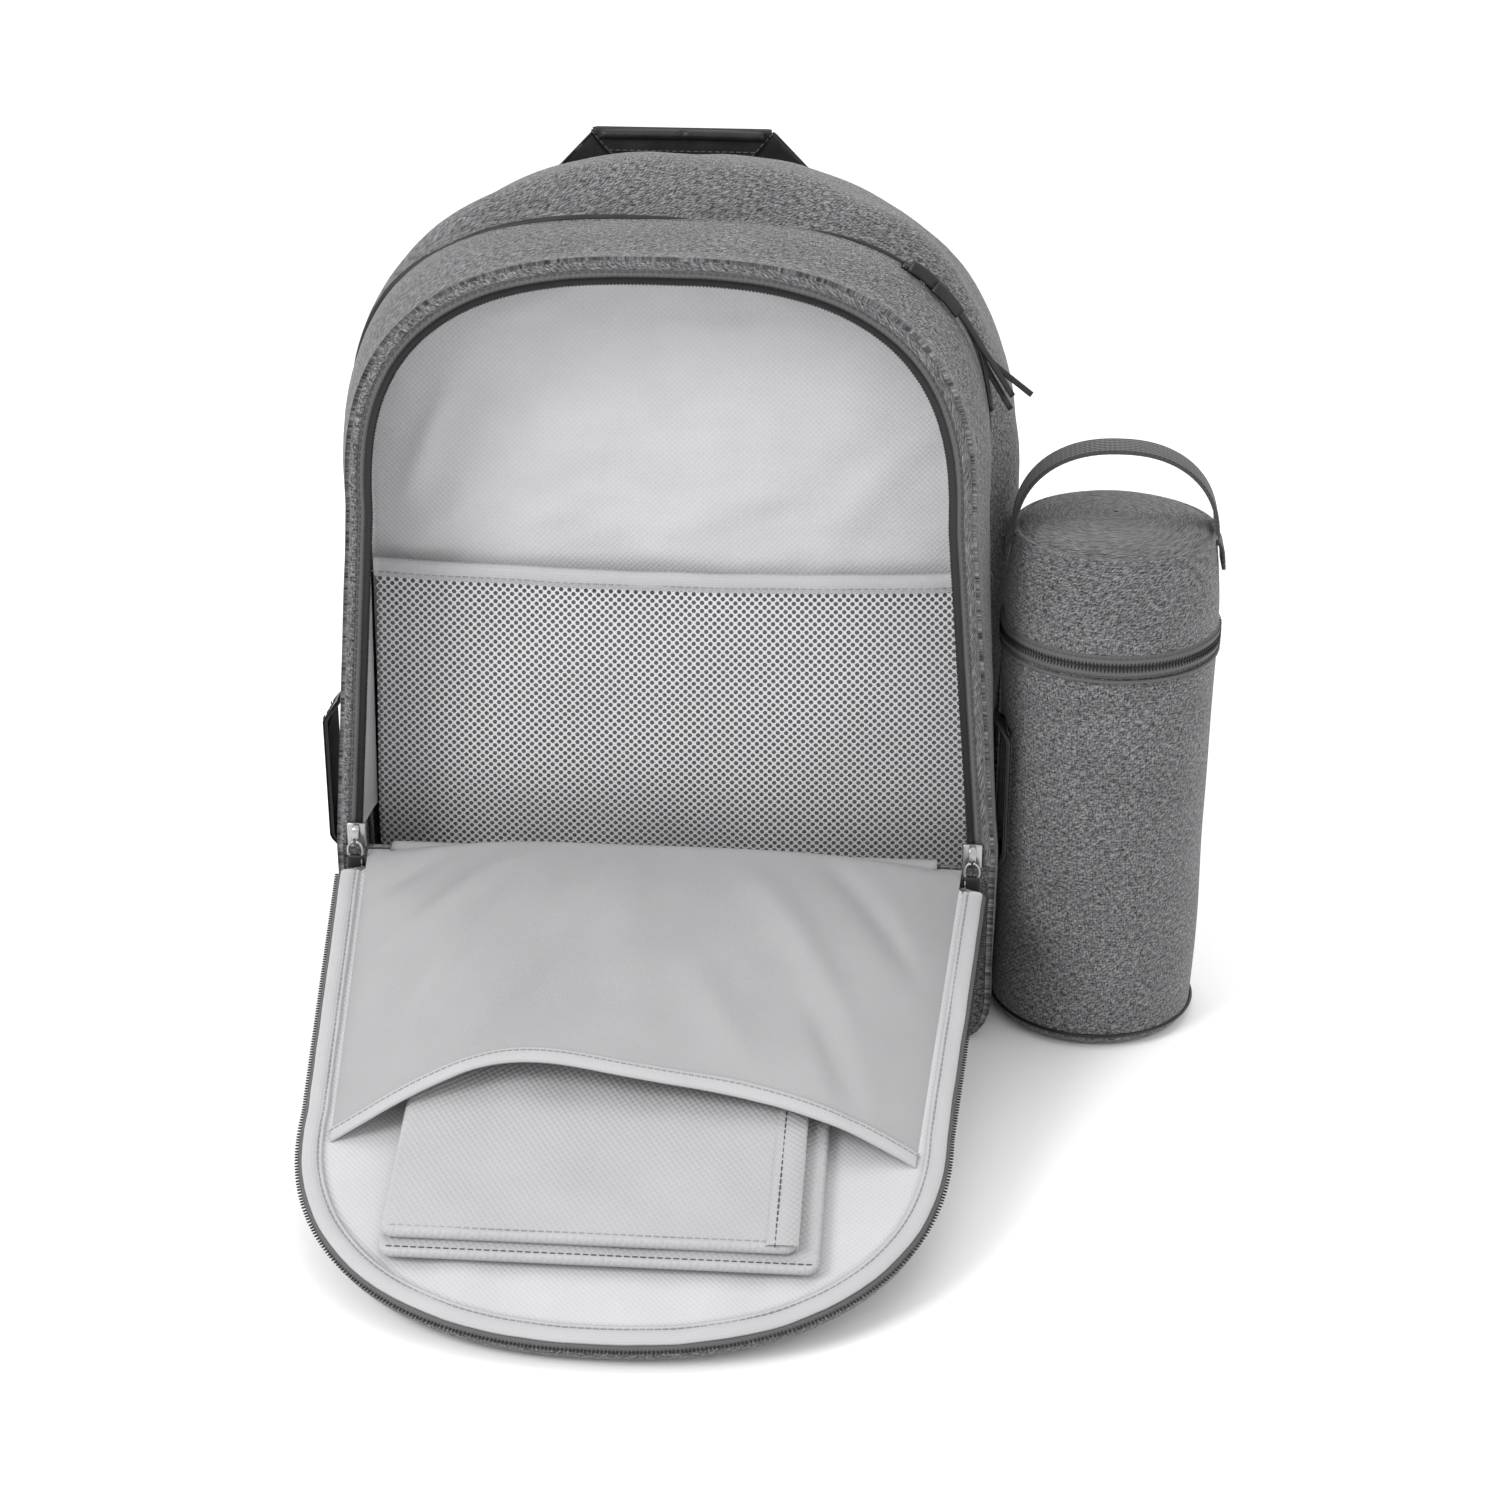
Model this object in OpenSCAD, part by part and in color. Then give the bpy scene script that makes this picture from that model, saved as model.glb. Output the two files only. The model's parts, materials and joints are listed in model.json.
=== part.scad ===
// Backpack diaper bag, opened flat at the front, with a folded changing pad
// in its flap pocket and an insulated bottle pouch standing at its right side.
// Origin: centre of the bag's base on the ground. +X right, +Y to the back, +Z up.

/* [Bag] */
// Outer width of the bag at its base
bag_w = 296; // [286:1:310]
// Height of the flap hinge above the ground
hinge_h = 90; // [86:1:94]
// Height of the front opening above the hinge
open_h = 269; // [250:1:275]
// Depth of the front compartment
front_d = 44; // [42:1:50]
// Depth of the rear compartment
rear_d = 86; // [80:1:100]
// Thickness of the padded fabric walls
wall = 3; // [2:0.5:4]
// Height of the mesh pocket's top edge
mesh_top = 216; // [180:1:225]

/* [Flap] */
// Slope of the open flap below the horizontal
flap_slope = 16.5; // [14:0.1:16.5]
// Thickness of the padded flap
flap_t = 12; // [10:0.5:12]
// Length of the flap pocket at its middle
pocket_l = 158; // [140:1:165]
// Height of the pocket's crown at its mouth
pocket_crown = 24; // [22:1:26]

/* [Changing pad] */
// Width of the folded changing pad
pad_w = 176; // [160:1:177]
// Length of the folded changing pad
pad_l = 193; // [175:1:193]
// Thickness of the folded changing pad
pad_t = 9.5; // [8:0.5:10]

/* [Bottle pouch] */
// Radius of the pouch at its zip
pouch_r = 48; // [44:0.5:48]
// Radius of the pouch at its base
pouch_foot_r = 46.5; // [42:0.5:46.5]
// Height of the pouch's zip
pouch_zip_z = 186; // [160:1:200]
// Height of the lid above the zip
lid_h = 47; // [40:1:55]
// Height of the lid strap above the lid's seam
lid_strap_h = 38; // [34:1:45]

/* [Handle and straps] */
// Length of the carry handle's grip
grip_l = 66; // [60:1:72]
// Width of the shoulder straps
strap_w = 54; // [46:1:56]
// Thickness of the shoulder straps
strap_t = 11; // [8:1:12]

/* [Hidden] */

// Planes across the bag's depth
front_y = -(front_d + rear_d + 4) / 2;
line_y = front_y + front_d;
back_y = line_y + rear_d + 1;
half_w = bag_w / 2;
spring = 160;
spring_z = hinge_h + spring;
rear_spring_z = spring_z - 10;
top_z = hinge_h + open_h;

// Front opening: half width at the hinge and at the spring of its arch
open_foot = half_w - 6.5;
open_side = open_foot - 13.5;
open_k = 2.7;
flap_k = 2.3;
tape_w = 6.5;
coil_w = 1.8;

// Number of steps along the lower side, the upper side and each quarter turn
lower_steps = 1;
side_steps = 3;
turn_steps = 9;

// Cross-sections of the bag: depth, half width at the hinge, half width at the spring,
// height of the spring, height of the top, exponent of the arch
section_front = [front_y, half_w, open_side + tape_w, spring_z, top_z + tape_w, open_k];
section_line = [line_y, half_w - 4, open_side + 12, spring_z, top_z + 11, 3];
section_flare = [line_y + 12, half_w - 4, open_side + 18, spring_z - 5, top_z + 26, 2.7];
section_peak = [line_y + 26, half_w - 3, open_side + 21, rear_spring_z, top_z + 31, 2.4];
section_top = [line_y + 57, half_w - 2, open_side + 20, rear_spring_z, top_z + 24, 2.4];
section_back = [back_y, half_w - 4, open_side + 14, rear_spring_z, top_z + 2, 2.4];

// Linings and the divider sit this far inside the walls
skin_gap = 0.2;
skin_t = 1;
divider_t = 6;
board_t = 2.5;

// Flap frame: the hinge line in front of the opening, the flap lies along +Z when closed
hinge_y = front_y - 2.5;
root_gap = 3;
notch_h = 16;
neck = open_foot - 16;
shell_t = 2;
layer_t = 1.2;
binding_t = 3;
binding_in = 3.5;
binding_out = 4.5;

// Sliders
slider_w = 9;
slider_h = 12;
slider_t = 4;
slider_gap = 0.8;
pull_w = 8;
pull_l = 30;
pull_t = 2.4;
pull_z = hinge_h + 3;

// Shoulder turn of the rear zip: centre and radius of its sliders' travel
turn_x = 58.6;
turn_z = 285.7;
turn_r = 81;
upper_slider_a = 55;
lower_slider_a = 46;

// Pouch placement
pouch_x = half_w + pouch_r + 2.5;
pouch_y = line_y - 2;
pouch_wall = 3;
pouch_seam_z = pouch_zip_z + 6 + lid_h;

// Handle and shoulder straps
handle_y = back_y - 16;
handle_foot_z = top_z + 18;
handle_top_z = handle_foot_z + 17.5;
pads_t = 6;
strap_top_z = 337;

function quad(a, b, c, d) = [[a, b, c], [a, c, d]];

// Half width of a superellipse of exponent k, and its height, at an angle
function turn_point(ws, zs, zt, k, a) = [ws * pow(cos(a), 2 / k), zs + (zt - zs) * pow(sin(a), 2 / k)];

// Arched outline from its left foot over the top to its right foot
function arch(foot_z, w, bend_z, ws, zs, zt, k) = let (
    lower = foot_z < bend_z ? [for (i = [0:lower_steps - 1]) [w, foot_z + (bend_z - foot_z) * i / lower_steps]] : [],
    side = [for (i = [0:side_steps - 1]) [w + (ws - w) * i / side_steps, bend_z + (zs - bend_z) * i / side_steps]],
    turn = [for (i = [0:turn_steps]) turn_point(ws, zs, zt, k, 90 * i / turn_steps)],
    right = concat(lower, side, turn)
) concat([for (p = right) [-p[0], p[1]]], [for (i = [len(right) - 2:-1:0]) right[i]]);

// Outline of one cross-section of the bag, drawn in by d
function section_arch(s, d) = arch(0, s[1] - d, hinge_h, s[2] - d, s[3], s[4] - d, s[5]);

// Outline of the front opening, drawn out by d, standing on the hinge
function open_arch(d) = arch(hinge_h, open_foot + d, hinge_h, open_side + d, spring_z, top_z + d, open_k);

// Half width of the flap at a distance u from its hinge, drawn out by d
function flap_half(u, d) = open_foot + d - 13.5 * u / spring;

// Outline of the flap above its notched corners, drawn out by d
function flap_arch(d) = arch(notch_h, flap_half(notch_h, d), notch_h, open_side + d, spring, open_h + d, flap_k);

// Whole outline of the flap with its narrower neck at the hinge
function flap_outline(d) = concat([[-neck, root_gap], [-neck, notch_h]], flap_arch(d), [[neck, notch_h], [neck, root_gap]]);

function reversed(v) = [for (i = [len(v) - 1:-1:0]) v[i]];

// Solid between two grids of points that share their borders' order
module band(outer, inner) {
    n = len(outer);
    m = len(outer[0]);
    o = n * m;
    points = concat([for (r = outer) each r], [for (r = inner) each r]);
    skins = [for (i = [0:n - 2], j = [0:m - 2]) each concat(
        quad(i * m + j, (i + 1) * m + j, (i + 1) * m + j + 1, i * m + j + 1),
        quad(o + i * m + j, o + i * m + j + 1, o + (i + 1) * m + j + 1, o + (i + 1) * m + j))];
    rims = [for (i = [0:n - 2]) each concat(
        quad(i * m, o + i * m, o + (i + 1) * m, (i + 1) * m),
        quad(i * m + m - 1, (i + 1) * m + m - 1, o + (i + 1) * m + m - 1, o + i * m + m - 1))];
    ends = [for (j = [0:m - 2]) each concat(
        quad(j, j + 1, o + j + 1, o + j),
        quad((n - 1) * m + j, o + (n - 1) * m + j, o + (n - 1) * m + j + 1, (n - 1) * m + j + 1))];
    polyhedron(points, concat(skins, rims, ends), convexity = 8);
}

// Padded wall that follows the bag's cross-sections from front to back
module gusset(sections, d_out, d_in) {
    outer = [for (s = sections) [for (p = section_arch(s, d_out)) [p[0], s[0], p[1]]]];
    inner = [for (s = sections) [for (p = section_arch(s, d_in)) [p[0], s[0], p[1]]]];
    band(outer, inner);
}

// Upright plate of an outline in X and Z, from y to y + t
module plate(y, t, outline) {
    translate([0, y + t, 0]) rotate([90, 0, 0]) linear_extrude(t) polygon(outline);
}

// Upright strip between two arches
module arch_strip(y, t, outer, inner) {
    plate(y, t, concat(outer, reversed(inner)));
}

// Box from its low corner to its high corner
module block(low, high) {
    translate(low) cube(high - low);
}

module flap_place() {
    translate([0, hinge_y, hinge_h]) rotate([90 + flap_slope, 0, 0]) children();
}

// ---- bag shell ----

// Right border of the base, drawn in by d
function base_side(d) = [for (s = [section_front, section_line, section_peak, section_top, section_back]) [s[1] - d, s[0]]];

module base_panel() color([0.36, 0.36, 0.37]) {
    side = base_side(wall + 0.5);
    linear_extrude(wall) polygon(concat(side, [for (p = reversed(side)) [-p[0], p[1]]]));
}

module base_board() color([0.15, 0.15, 0.15]) {
    block([-half_w + 12, front_y + 8, wall], [half_w - 12, back_y - 9, wall + board_t]);
}

module front_wall() color([0.36, 0.36, 0.37]) {
    block([-half_w + wall + 0.9, front_y, wall], [half_w - wall - 0.9, front_y + wall, hinge_h - 1]);
}

module front_gusset() color([0.4, 0.4, 0.41]) {
    gusset([section_front, section_line], 0, wall);
}

module front_lining() color([0.8, 0.8, 0.81]) {
    lining_front = [front_y + 0.5, half_w, open_side + tape_w, spring_z, top_z + tape_w, open_k];
    lining_line = [line_y - 0.6, half_w - 4, open_side + 12, spring_z, top_z + 11, 3];
    gusset_lining([lining_front, lining_line], wall + skin_gap, wall + skin_gap + skin_t);
}

// Lining of the opening's rim above the hinge only
module gusset_lining(sections, d_out, d_in) {
    outer = [for (s = sections) [for (p = rim_arch(s, d_out)) [p[0], s[0], p[1]]]];
    inner = [for (s = sections) [for (p = rim_arch(s, d_in)) [p[0], s[0], p[1]]]];
    band(outer, inner);
}

function rim_arch(s, d) = arch(hinge_h, s[1] - d, hinge_h, s[2] - d, s[3], s[4] - d, s[5]);

module floor_lining() color([0.8, 0.8, 0.81]) {
    floor_z = wall + board_t;
    block([-half_w + 13, front_y + wall + 1, floor_z], [half_w - 13, line_y - 2, floor_z + skin_t]);
}

module divider_wall() color([0.82, 0.82, 0.83]) {
    inset = wall + 0.5;
    outline = arch(wall + board_t + 0.5, half_w - 4 - inset, hinge_h, open_side + 12 - inset,
        spring_z, top_z + 11 - inset, 3);
    plate(line_y + 1, divider_t, outline);
}

mesh_y = line_y - 7.5;
mesh_half = half_w - wall - 6;
mesh_top_half = mesh_half - 5;
mesh_foot_z = wall + board_t + 2;
mesh_edge = 7;

module mesh_pocket() color([0.74, 0.74, 0.75]) {
    plate(mesh_y, 1, [
        [-mesh_half, mesh_foot_z], [-mesh_half, hinge_h], [-mesh_top_half, mesh_top - mesh_edge],
        [mesh_top_half, mesh_top - mesh_edge], [mesh_half, hinge_h], [mesh_half, mesh_foot_z]
    ]);
}

module mesh_binding() color([0.78, 0.78, 0.79]) {
    block([-mesh_top_half, mesh_y - 1, mesh_top - mesh_edge], [mesh_top_half, mesh_y + 2, mesh_top]);
}

module front_zip_tape() color([0.28, 0.28, 0.29]) {
    arch_strip(front_y - 1.2, 1.2, open_arch(tape_w), open_arch(0));
}

module front_zip_coil() color([0.1, 0.1, 0.1]) {
    arch_strip(front_y - 1.6, 1.8, open_arch(0), open_arch(-coil_w));
}

module rear_gusset() color([0.38, 0.38, 0.39]) {
    start = concat([line_y + 0.8], [for (i = [1:5]) section_line[i]]);
    gusset([start, section_flare, section_peak, section_top, section_back], 0, wall);
}

module rear_zip() color([0.1, 0.1, 0.1]) {
    arch_strip(line_y, 0.8, section_arch(section_line, -1), section_arch(section_line, wall));
}

module back_panel() color([0.34, 0.34, 0.35]) {
    inset = wall + 0.6;
    outline = arch(wall, section_back[1] - inset, hinge_h, section_back[2] - inset,
        section_back[3], section_back[4] - inset, section_back[5]);
    plate(back_y - 3, 3, outline);
}

module back_foam() color([0.9, 0.9, 0.88]) {
    inset = wall + 4;
    outline = arch(wall + board_t + 1, section_back[1] - inset, hinge_h, section_back[2] - inset,
        section_back[3], section_back[4] - inset, section_back[5]);
    plate(back_y - 8, 5, outline);
}

module back_pads() color([0.2, 0.2, 0.21]) {
    for (side = [-1, 1]) {
        translate([side * 62, back_y, 190]) rotate([-90, 0, 0]) linear_extrude(pads_t)
            offset(14) square([66, 240], center = true);
    }
}

module strap_yoke() color([0.12, 0.12, 0.12]) {
    block([-80, back_y, strap_top_z + 1], [80, back_y + 5, strap_top_z + 11]);
}

// ---- side pockets and leather tabs ----

pocket_y = line_y + 17.5;
pocket_span = 64;
pocket_bulge = 8;
pocket_foot_z = 6;
side_pocket_top = 182;
pocket_x = half_w + 0.2;

// How far the side pocket stands out at depth fraction t and height fraction h
function bulge(t, h) = pocket_bulge * sin(180 * t) * (0.35 + 0.65 * sin(20 + 135 * h));

module side_pocket(side) color([0.33, 0.33, 0.34]) {
    rows = [for (h = [0:0.125:1]) [for (t = [0:0.125:1])
        [pocket_x + bulge(t, h), pocket_y + pocket_span * t, pocket_foot_z + (side_pocket_top - pocket_foot_z) * h]]];
    skin = [for (r = rows) [for (p = r) [p[0] + 1.5, p[1], p[2]]]];
    if (side > 0) {
        band(rows, skin);
    } else {
        mirror([1, 0, 0]) band(rows, skin);
    }
}

module side_pocket_left() side_pocket(-1);
module side_pocket_right() side_pocket(1);

tab_y = front_y + 10;
tab_w = 22;
tab_low = 80;
tab_high = 155;
tab_t = 2;

module side_tab(side) color([0.08, 0.08, 0.08]) {
    x = side > 0 ? half_w - 0.7 : -half_w + 0.7 - tab_t;
    translate([x, tab_y, tab_low]) rotate([90, 0, 90]) linear_extrude(tab_t)
        offset(4) offset(-4) square([tab_w, tab_high - tab_low]);
}

module side_tab_left() side_tab(-1);
module side_tab_right() side_tab(1);

// ---- carry handle ----

grip_h = 14;
grip_t = 9;
handle_t = 4;
handle_half = grip_l / 2 + 8;

module handle_profile() {
    polygon([
        [-handle_half - 16, handle_foot_z], [-handle_half, handle_top_z - 1], [handle_half, handle_top_z - 1],
        [handle_half + 16, handle_foot_z], [handle_half - 4, handle_foot_z],
        [grip_l / 2 - 2, handle_top_z - grip_h + 1], [-grip_l / 2 + 2, handle_top_z - grip_h + 1],
        [-handle_half + 4, handle_foot_z]
    ]);
}

module handle_strap() color([0.09, 0.09, 0.09]) {
    translate([0, handle_y + handle_t / 2, 0]) rotate([90, 0, 0]) linear_extrude(handle_t) handle_profile();
}

module handle_grip() color([0.12, 0.12, 0.12]) {
    difference() {
        translate([-grip_l / 2, handle_y, handle_top_z - grip_h / 2]) rotate([90, 0, 90])
            linear_extrude(grip_l) offset(3) offset(-3) square([grip_t, grip_h], center = true);
        translate([0, handle_y + handle_t / 2 + 0.05, 0]) rotate([90, 0, 0])
            linear_extrude(handle_t + 0.1) offset(0.05) handle_profile();
    }
}

// ---- shoulder straps ----

// Route of a strap's middle: across, height, clearance of its inner face behind the pads, share of its width
strap_route = [
    [45, strap_top_z, 1, 0.9], [51, 305, 4, 1], [58, 270, 9, 1], [66, 232, 13, 0.98],
    [74, 192, 13, 0.9], [81, 152, 9, 0.78]
];
webbing_route = [[84, 134, 9], [97, 108, 6.5], [110, 80, 3], [121, 57, 0.5]];
webbing_half = 10;
pads_back = back_y + pads_t;

module shoulder_strap(side) color([0.14, 0.14, 0.15]) {
    across = [-1, -0.5, 0.5, 1];
    inner = [for (p = strap_route) [for (a = across)
        [side * (p[0] + a * p[3] * strap_w / 2), pads_back + p[2], p[1]]]];
    outer = [for (p = strap_route) [for (a = across)
        [side * (p[0] + a * p[3] * strap_w / 2), pads_back + p[2] + strap_t * (1 - 0.35 * a * a), p[1]]]];
    if (side > 0) {
        band(outer, inner);
    } else {
        band(inner, outer);
    }
}

module ladder_lock(side) color([0.07, 0.07, 0.07]) {
    x = side * 83;
    y = pads_back + 9;
    difference() {
        block([x - 15, y + 1, 136], [x + 15, y + 6, 151]);
        block([x - 11, y, 138.5], [x + 11, y + 7, 141.5]);
        block([x - 11, y, 145], [x + 11, y + 7, 148]);
    }
}

module webbing(side) color([0.1, 0.1, 0.1]) {
    inner = [for (p = webbing_route) [for (a = [-1, 1])
        [side * (p[0] + a * 0.9 * webbing_half), pads_back + p[2], p[1] + a * 0.43 * webbing_half - 6]]];
    outer = [for (r = inner) [for (p = r) [p[0], p[1] + 1.6, p[2]]]];
    if (side > 0) {
        band(outer, inner);
    } else {
        band(inner, outer);
    }
}

module strap_anchor(side) color([0.3, 0.3, 0.31]) {
    plate(back_y, 4, [[side * 104, 16], [side * 140, 16], [side * 140, 44], [side * 130, 47], [side * 112, 40]]);
}

module shoulder_strap_left() shoulder_strap(-1);
module shoulder_strap_right() shoulder_strap(1);
module ladder_lock_left() ladder_lock(-1);
module ladder_lock_right() ladder_lock(1);
module webbing_left() webbing(-1);
module webbing_right() webbing(1);
module strap_anchor_left() strap_anchor(-1);
module strap_anchor_right() strap_anchor(1);

// ---- front flap, drawn closed and then laid open ----

layer_top = -binding_t;
layer_low = layer_top - layer_t;

module flap_shell() color([0.36, 0.36, 0.37]) {
    flap_place() difference() {
        plate(-flap_t, flap_t + layer_low, flap_outline(6));
        plate(-flap_t + shell_t, flap_t, flap_outline(3.5));
    }
}

module flap_foam() color([0.9, 0.9, 0.88]) {
    flap_place() plate(-flap_t + shell_t, flap_t + layer_low - shell_t, flap_outline(3.2));
}

module flap_lining() color([0.8, 0.8, 0.81]) {
    flap_place() plate(layer_low, layer_t, flap_outline(-2.3));
}

module flap_zip_tape() color([0.2, 0.2, 0.21]) {
    flap_place() arch_strip(layer_low, layer_t, flap_arch(tape_w), flap_arch(-2));
}

module flap_binding() color([0.85, 0.85, 0.86]) {
    flap_place() arch_strip(-binding_t, binding_t, flap_arch(binding_out), flap_arch(-binding_in));
}

// Height of the pocket panel over the lining, along the flap r and across it t
panel_low = -1.6;
panel_t = 1.2;
function crown(r) = 6 + (pocket_crown - 6) * pow(sin(90 * min(1, r / 0.35)), 0.8) - 4 * (1 - r) * min(1, r / 0.35);
function panel_v(r, t) = panel_low + crown(r) * (1 - pow(abs(t), 3));
function mouth_u(t) = pocket_l + 14 * t * t;
function panel_u(r, t) = root_gap + 1 + (mouth_u(t) - root_gap - 1) * r;
function panel_point(r, t, lift) = let (u = panel_u(r, t)) [t * (flap_half(u, 0) - binding_in - 2.6), panel_v(r, t) + lift, u];

panel_across = [-1, -0.93, -0.82, -0.65, -0.4, 0, 0.4, 0.65, 0.82, 0.93, 1];
panel_along = [0, 0.08, 0.16, 0.25, 0.35, 0.55, 0.78, 1];

module pocket_panel() color([0.72, 0.72, 0.73]) {
    outer = [for (r = panel_along) [for (t = panel_across) panel_point(r, t, 0)]];
    inner = [for (r = panel_along) [for (t = panel_across) panel_point(r, t, -panel_t)]];
    flap_place() band(inner, outer);
}

pocket_edge = 7;
module pocket_binding() color([0.8, 0.8, 0.81]) {
    outer = [for (e = [0, 1]) [for (t = panel_across) panel_point(1, t, 0.5) + [0, 0, e * pocket_edge]]];
    inner = [for (e = [0, 1]) [for (t = panel_across) panel_point(1, t, -panel_t) + [0, 0, e * pocket_edge]]];
    flap_place() band(inner, outer);
}

// ---- changing pad ----

pad_u = 46;
pad_x = -3;
pad_v = 0.4;
pad_edge = 8;

// Rounded slab of the folded pad between two heights over the lining
module pad_slab(x_low, x_high, u_low, u_high, v, t) {
    flap_place() translate([0, v + t, 0]) rotate([90, 0, 0]) linear_extrude(t)
        offset(4) offset(-4) translate([x_low, u_low]) square([x_high - x_low, u_high - u_low]);
}

module pad_lower_fold() color([0.78, 0.78, 0.79]) {
    pad_slab(pad_x - pad_w / 2, pad_x + pad_w / 2, pad_u, pad_u + pad_l, pad_v, pad_t / 2);
}

module pad_upper_fold() color([0.8, 0.8, 0.81]) {
    pad_slab(pad_x - pad_w / 2, pad_x + pad_w / 2 - pad_edge, pad_u, pad_u + pad_l - 3,
        pad_v + pad_t / 2, pad_t / 2);
}

module pad_binding() color([0.82, 0.82, 0.83]) {
    edge_x = pad_x + pad_w / 2;
    edge_v = pad_v + pad_t / 2;
    flap_place() block([edge_x - pad_edge, edge_v, pad_u + 3], [edge_x - 0.5, edge_v + pad_t / 2 - 0.5, pad_u + pad_l - 4]);
}

// ---- front zip sliders ----

slider_x = open_foot - 1.2;
slider_front = front_y - 1.6 - slider_gap;
pull_y = slider_front - slider_t - 0.8;

module zip_slider(side) color([0.75, 0.75, 0.77]) {
    x = side * slider_x;
    block([x - slider_w / 2, slider_front - slider_t, hinge_h], [x + slider_w / 2, slider_front, hinge_h + slider_h]);
}

module zip_pull(side) color([0.12, 0.12, 0.12]) {
    x = side * slider_x;
    block([x - pull_w / 2, pull_y - pull_t, pull_z + 1.5 - pull_l], [x + pull_w / 2, pull_y, pull_z + 1.5]);
}

module zip_slider_left() zip_slider(-1);
module zip_slider_right() zip_slider(1);
module zip_pull_left() zip_pull(-1);
module zip_pull_right() zip_pull(1);

// ---- rear zip sliders with leather pulls ----

rear_slider_y = line_y - 8;

module rear_slider(a) color([0.2, 0.2, 0.2]) {
    translate([turn_x, rear_slider_y, turn_z]) rotate([0, -a, 0]) block([turn_r, 0, -5], [turn_r + 4.5, 7, 5]);
}

// Leather strip hanging from a slider at angle a to the point [x, z]
module rear_pull(a, end, y) color([0.07, 0.07, 0.07]) {
    start = [turn_x + (turn_r + 3.4) * cos(a), turn_z + (turn_r + 3.4) * sin(a)];
    run = end - start;
    slope = atan2(run[1], run[0]);
    translate([start[0], y, start[1]]) rotate([0, -slope, 0]) block([0, 0, -2.5], [norm(run), 1.8, 2.5]);
}

module rear_slider_upper() rear_slider(upper_slider_a);
module rear_slider_lower() rear_slider(lower_slider_a);
module rear_pull_upper() rear_pull(upper_slider_a, [150, 322], rear_slider_y - 2.3);
module rear_pull_lower() rear_pull(lower_slider_a, [148, 300], rear_slider_y - 4.6);

// ---- bottle pouch ----

function cone_r(z) = pouch_foot_r + (pouch_r - pouch_foot_r) * z / pouch_zip_z;

module pouch_place() {
    translate([pouch_x, pouch_y, 0]) children();
}

module pouch_ring(profile) {
    pouch_place() rotate_extrude($fn = 72) polygon(profile);
}

module pouch_body() color([0.42, 0.42, 0.43]) {
    pouch_ring([
        [pouch_foot_r - pouch_wall, 0], [pouch_foot_r, 0], [pouch_r, pouch_zip_z], [pouch_r - pouch_wall, pouch_zip_z]
    ]);
}

module pouch_base() color([0.36, 0.36, 0.37]) {
    pouch_ring([[0, 0], [pouch_foot_r - pouch_wall, 0], [pouch_foot_r - pouch_wall, wall], [0, wall]]);
}

module pouch_lining() color([0.8, 0.8, 0.82]) {
    pouch_ring([
        [0, wall], [cone_r(wall) - pouch_wall - 0.2, wall], [pouch_r - pouch_wall - 0.2, pouch_zip_z],
        [pouch_r - pouch_wall - 2, pouch_zip_z], [cone_r(wall) - pouch_wall - 2, wall + 2], [0, wall + 2]
    ]);
}

zip_ring_h = 5;
lid_gap = 0.5;
lid_z = pouch_zip_z + zip_ring_h + lid_gap;
lid_wall_z = lid_z + zip_ring_h;
lid_seam_r = pouch_r - 6.5;
lid_top = pouch_seam_z + 7;

module pouch_zip_lower() color([0.24, 0.24, 0.25]) {
    pouch_ring([
        [pouch_r - 2, pouch_zip_z], [pouch_r + 0.3, pouch_zip_z], [pouch_r + 0.8, pouch_zip_z + zip_ring_h],
        [pouch_r - 2, pouch_zip_z + zip_ring_h]
    ]);
}

module pouch_zip_upper() color([0.24, 0.24, 0.25]) {
    pouch_ring([
        [pouch_r - 2, lid_z], [pouch_r + 0.8, lid_z], [pouch_r + 0.3, lid_z + zip_ring_h], [pouch_r - 2, lid_z + zip_ring_h]
    ]);
}

module pouch_lid() color([0.44, 0.44, 0.45]) {
    pouch_ring([
        [pouch_r - pouch_wall, lid_wall_z], [pouch_r, lid_wall_z], [pouch_r - 2.5, pouch_seam_z - 9],
        [pouch_r - 4, pouch_seam_z - 3], [lid_seam_r, pouch_seam_z], [lid_seam_r * 0.6, lid_top - 2], [0, lid_top],
        [0, lid_top - wall], [lid_seam_r * 0.6, lid_top - wall - 2], [pouch_r - 8, pouch_seam_z - 5],
        [pouch_r - 6, pouch_seam_z - 12]
    ]);
}

module lid_lining() color([0.8, 0.8, 0.82]) {
    pouch_ring([
        [pouch_r - pouch_wall - 2, lid_z + 1], [pouch_r - pouch_wall - 0.2, lid_z + 1],
        [pouch_r - 6.2, pouch_seam_z - 13], [pouch_r - 9, pouch_seam_z - 6], [0, pouch_seam_z - 2],
        [0, pouch_seam_z - 4], [pouch_r - 10, pouch_seam_z - 8], [pouch_r - 8, pouch_seam_z - 14]
    ]);
}

strap_foot_z = pouch_seam_z - 2;
lid_strap_half = pouch_r - 1;
lid_strap_w = 18;

module lid_strap() color([0.16, 0.16, 0.17]) {
    outer = arch(strap_foot_z, lid_strap_half, strap_foot_z + 6, lid_strap_half, strap_foot_z + 12,
        pouch_seam_z + lid_strap_h, 2.2);
    inner = arch(strap_foot_z, lid_strap_half - 2, strap_foot_z + 6, lid_strap_half - 2, strap_foot_z + 12,
        pouch_seam_z + lid_strap_h - 2, 2.2);
    pouch_place() arch_strip(-lid_strap_w / 2, lid_strap_w, outer, inner);
}

pouch_slider_a = 40;

module pouch_slider() color([0.6, 0.6, 0.62]) {
    pouch_place() rotate([0, 0, pouch_slider_a])
        block([pouch_r + 1.2, -5, pouch_zip_z - 1], [pouch_r + 4.6, 5, pouch_zip_z + 6.5]);
}

module pouch_pull() color([0.12, 0.12, 0.12]) {
    pouch_place() rotate([0, 0, pouch_slider_a])
        block([pouch_r + 2, -3, pouch_zip_z - 24], [pouch_r + 4, 3, pouch_zip_z - 2.2]);
}

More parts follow.
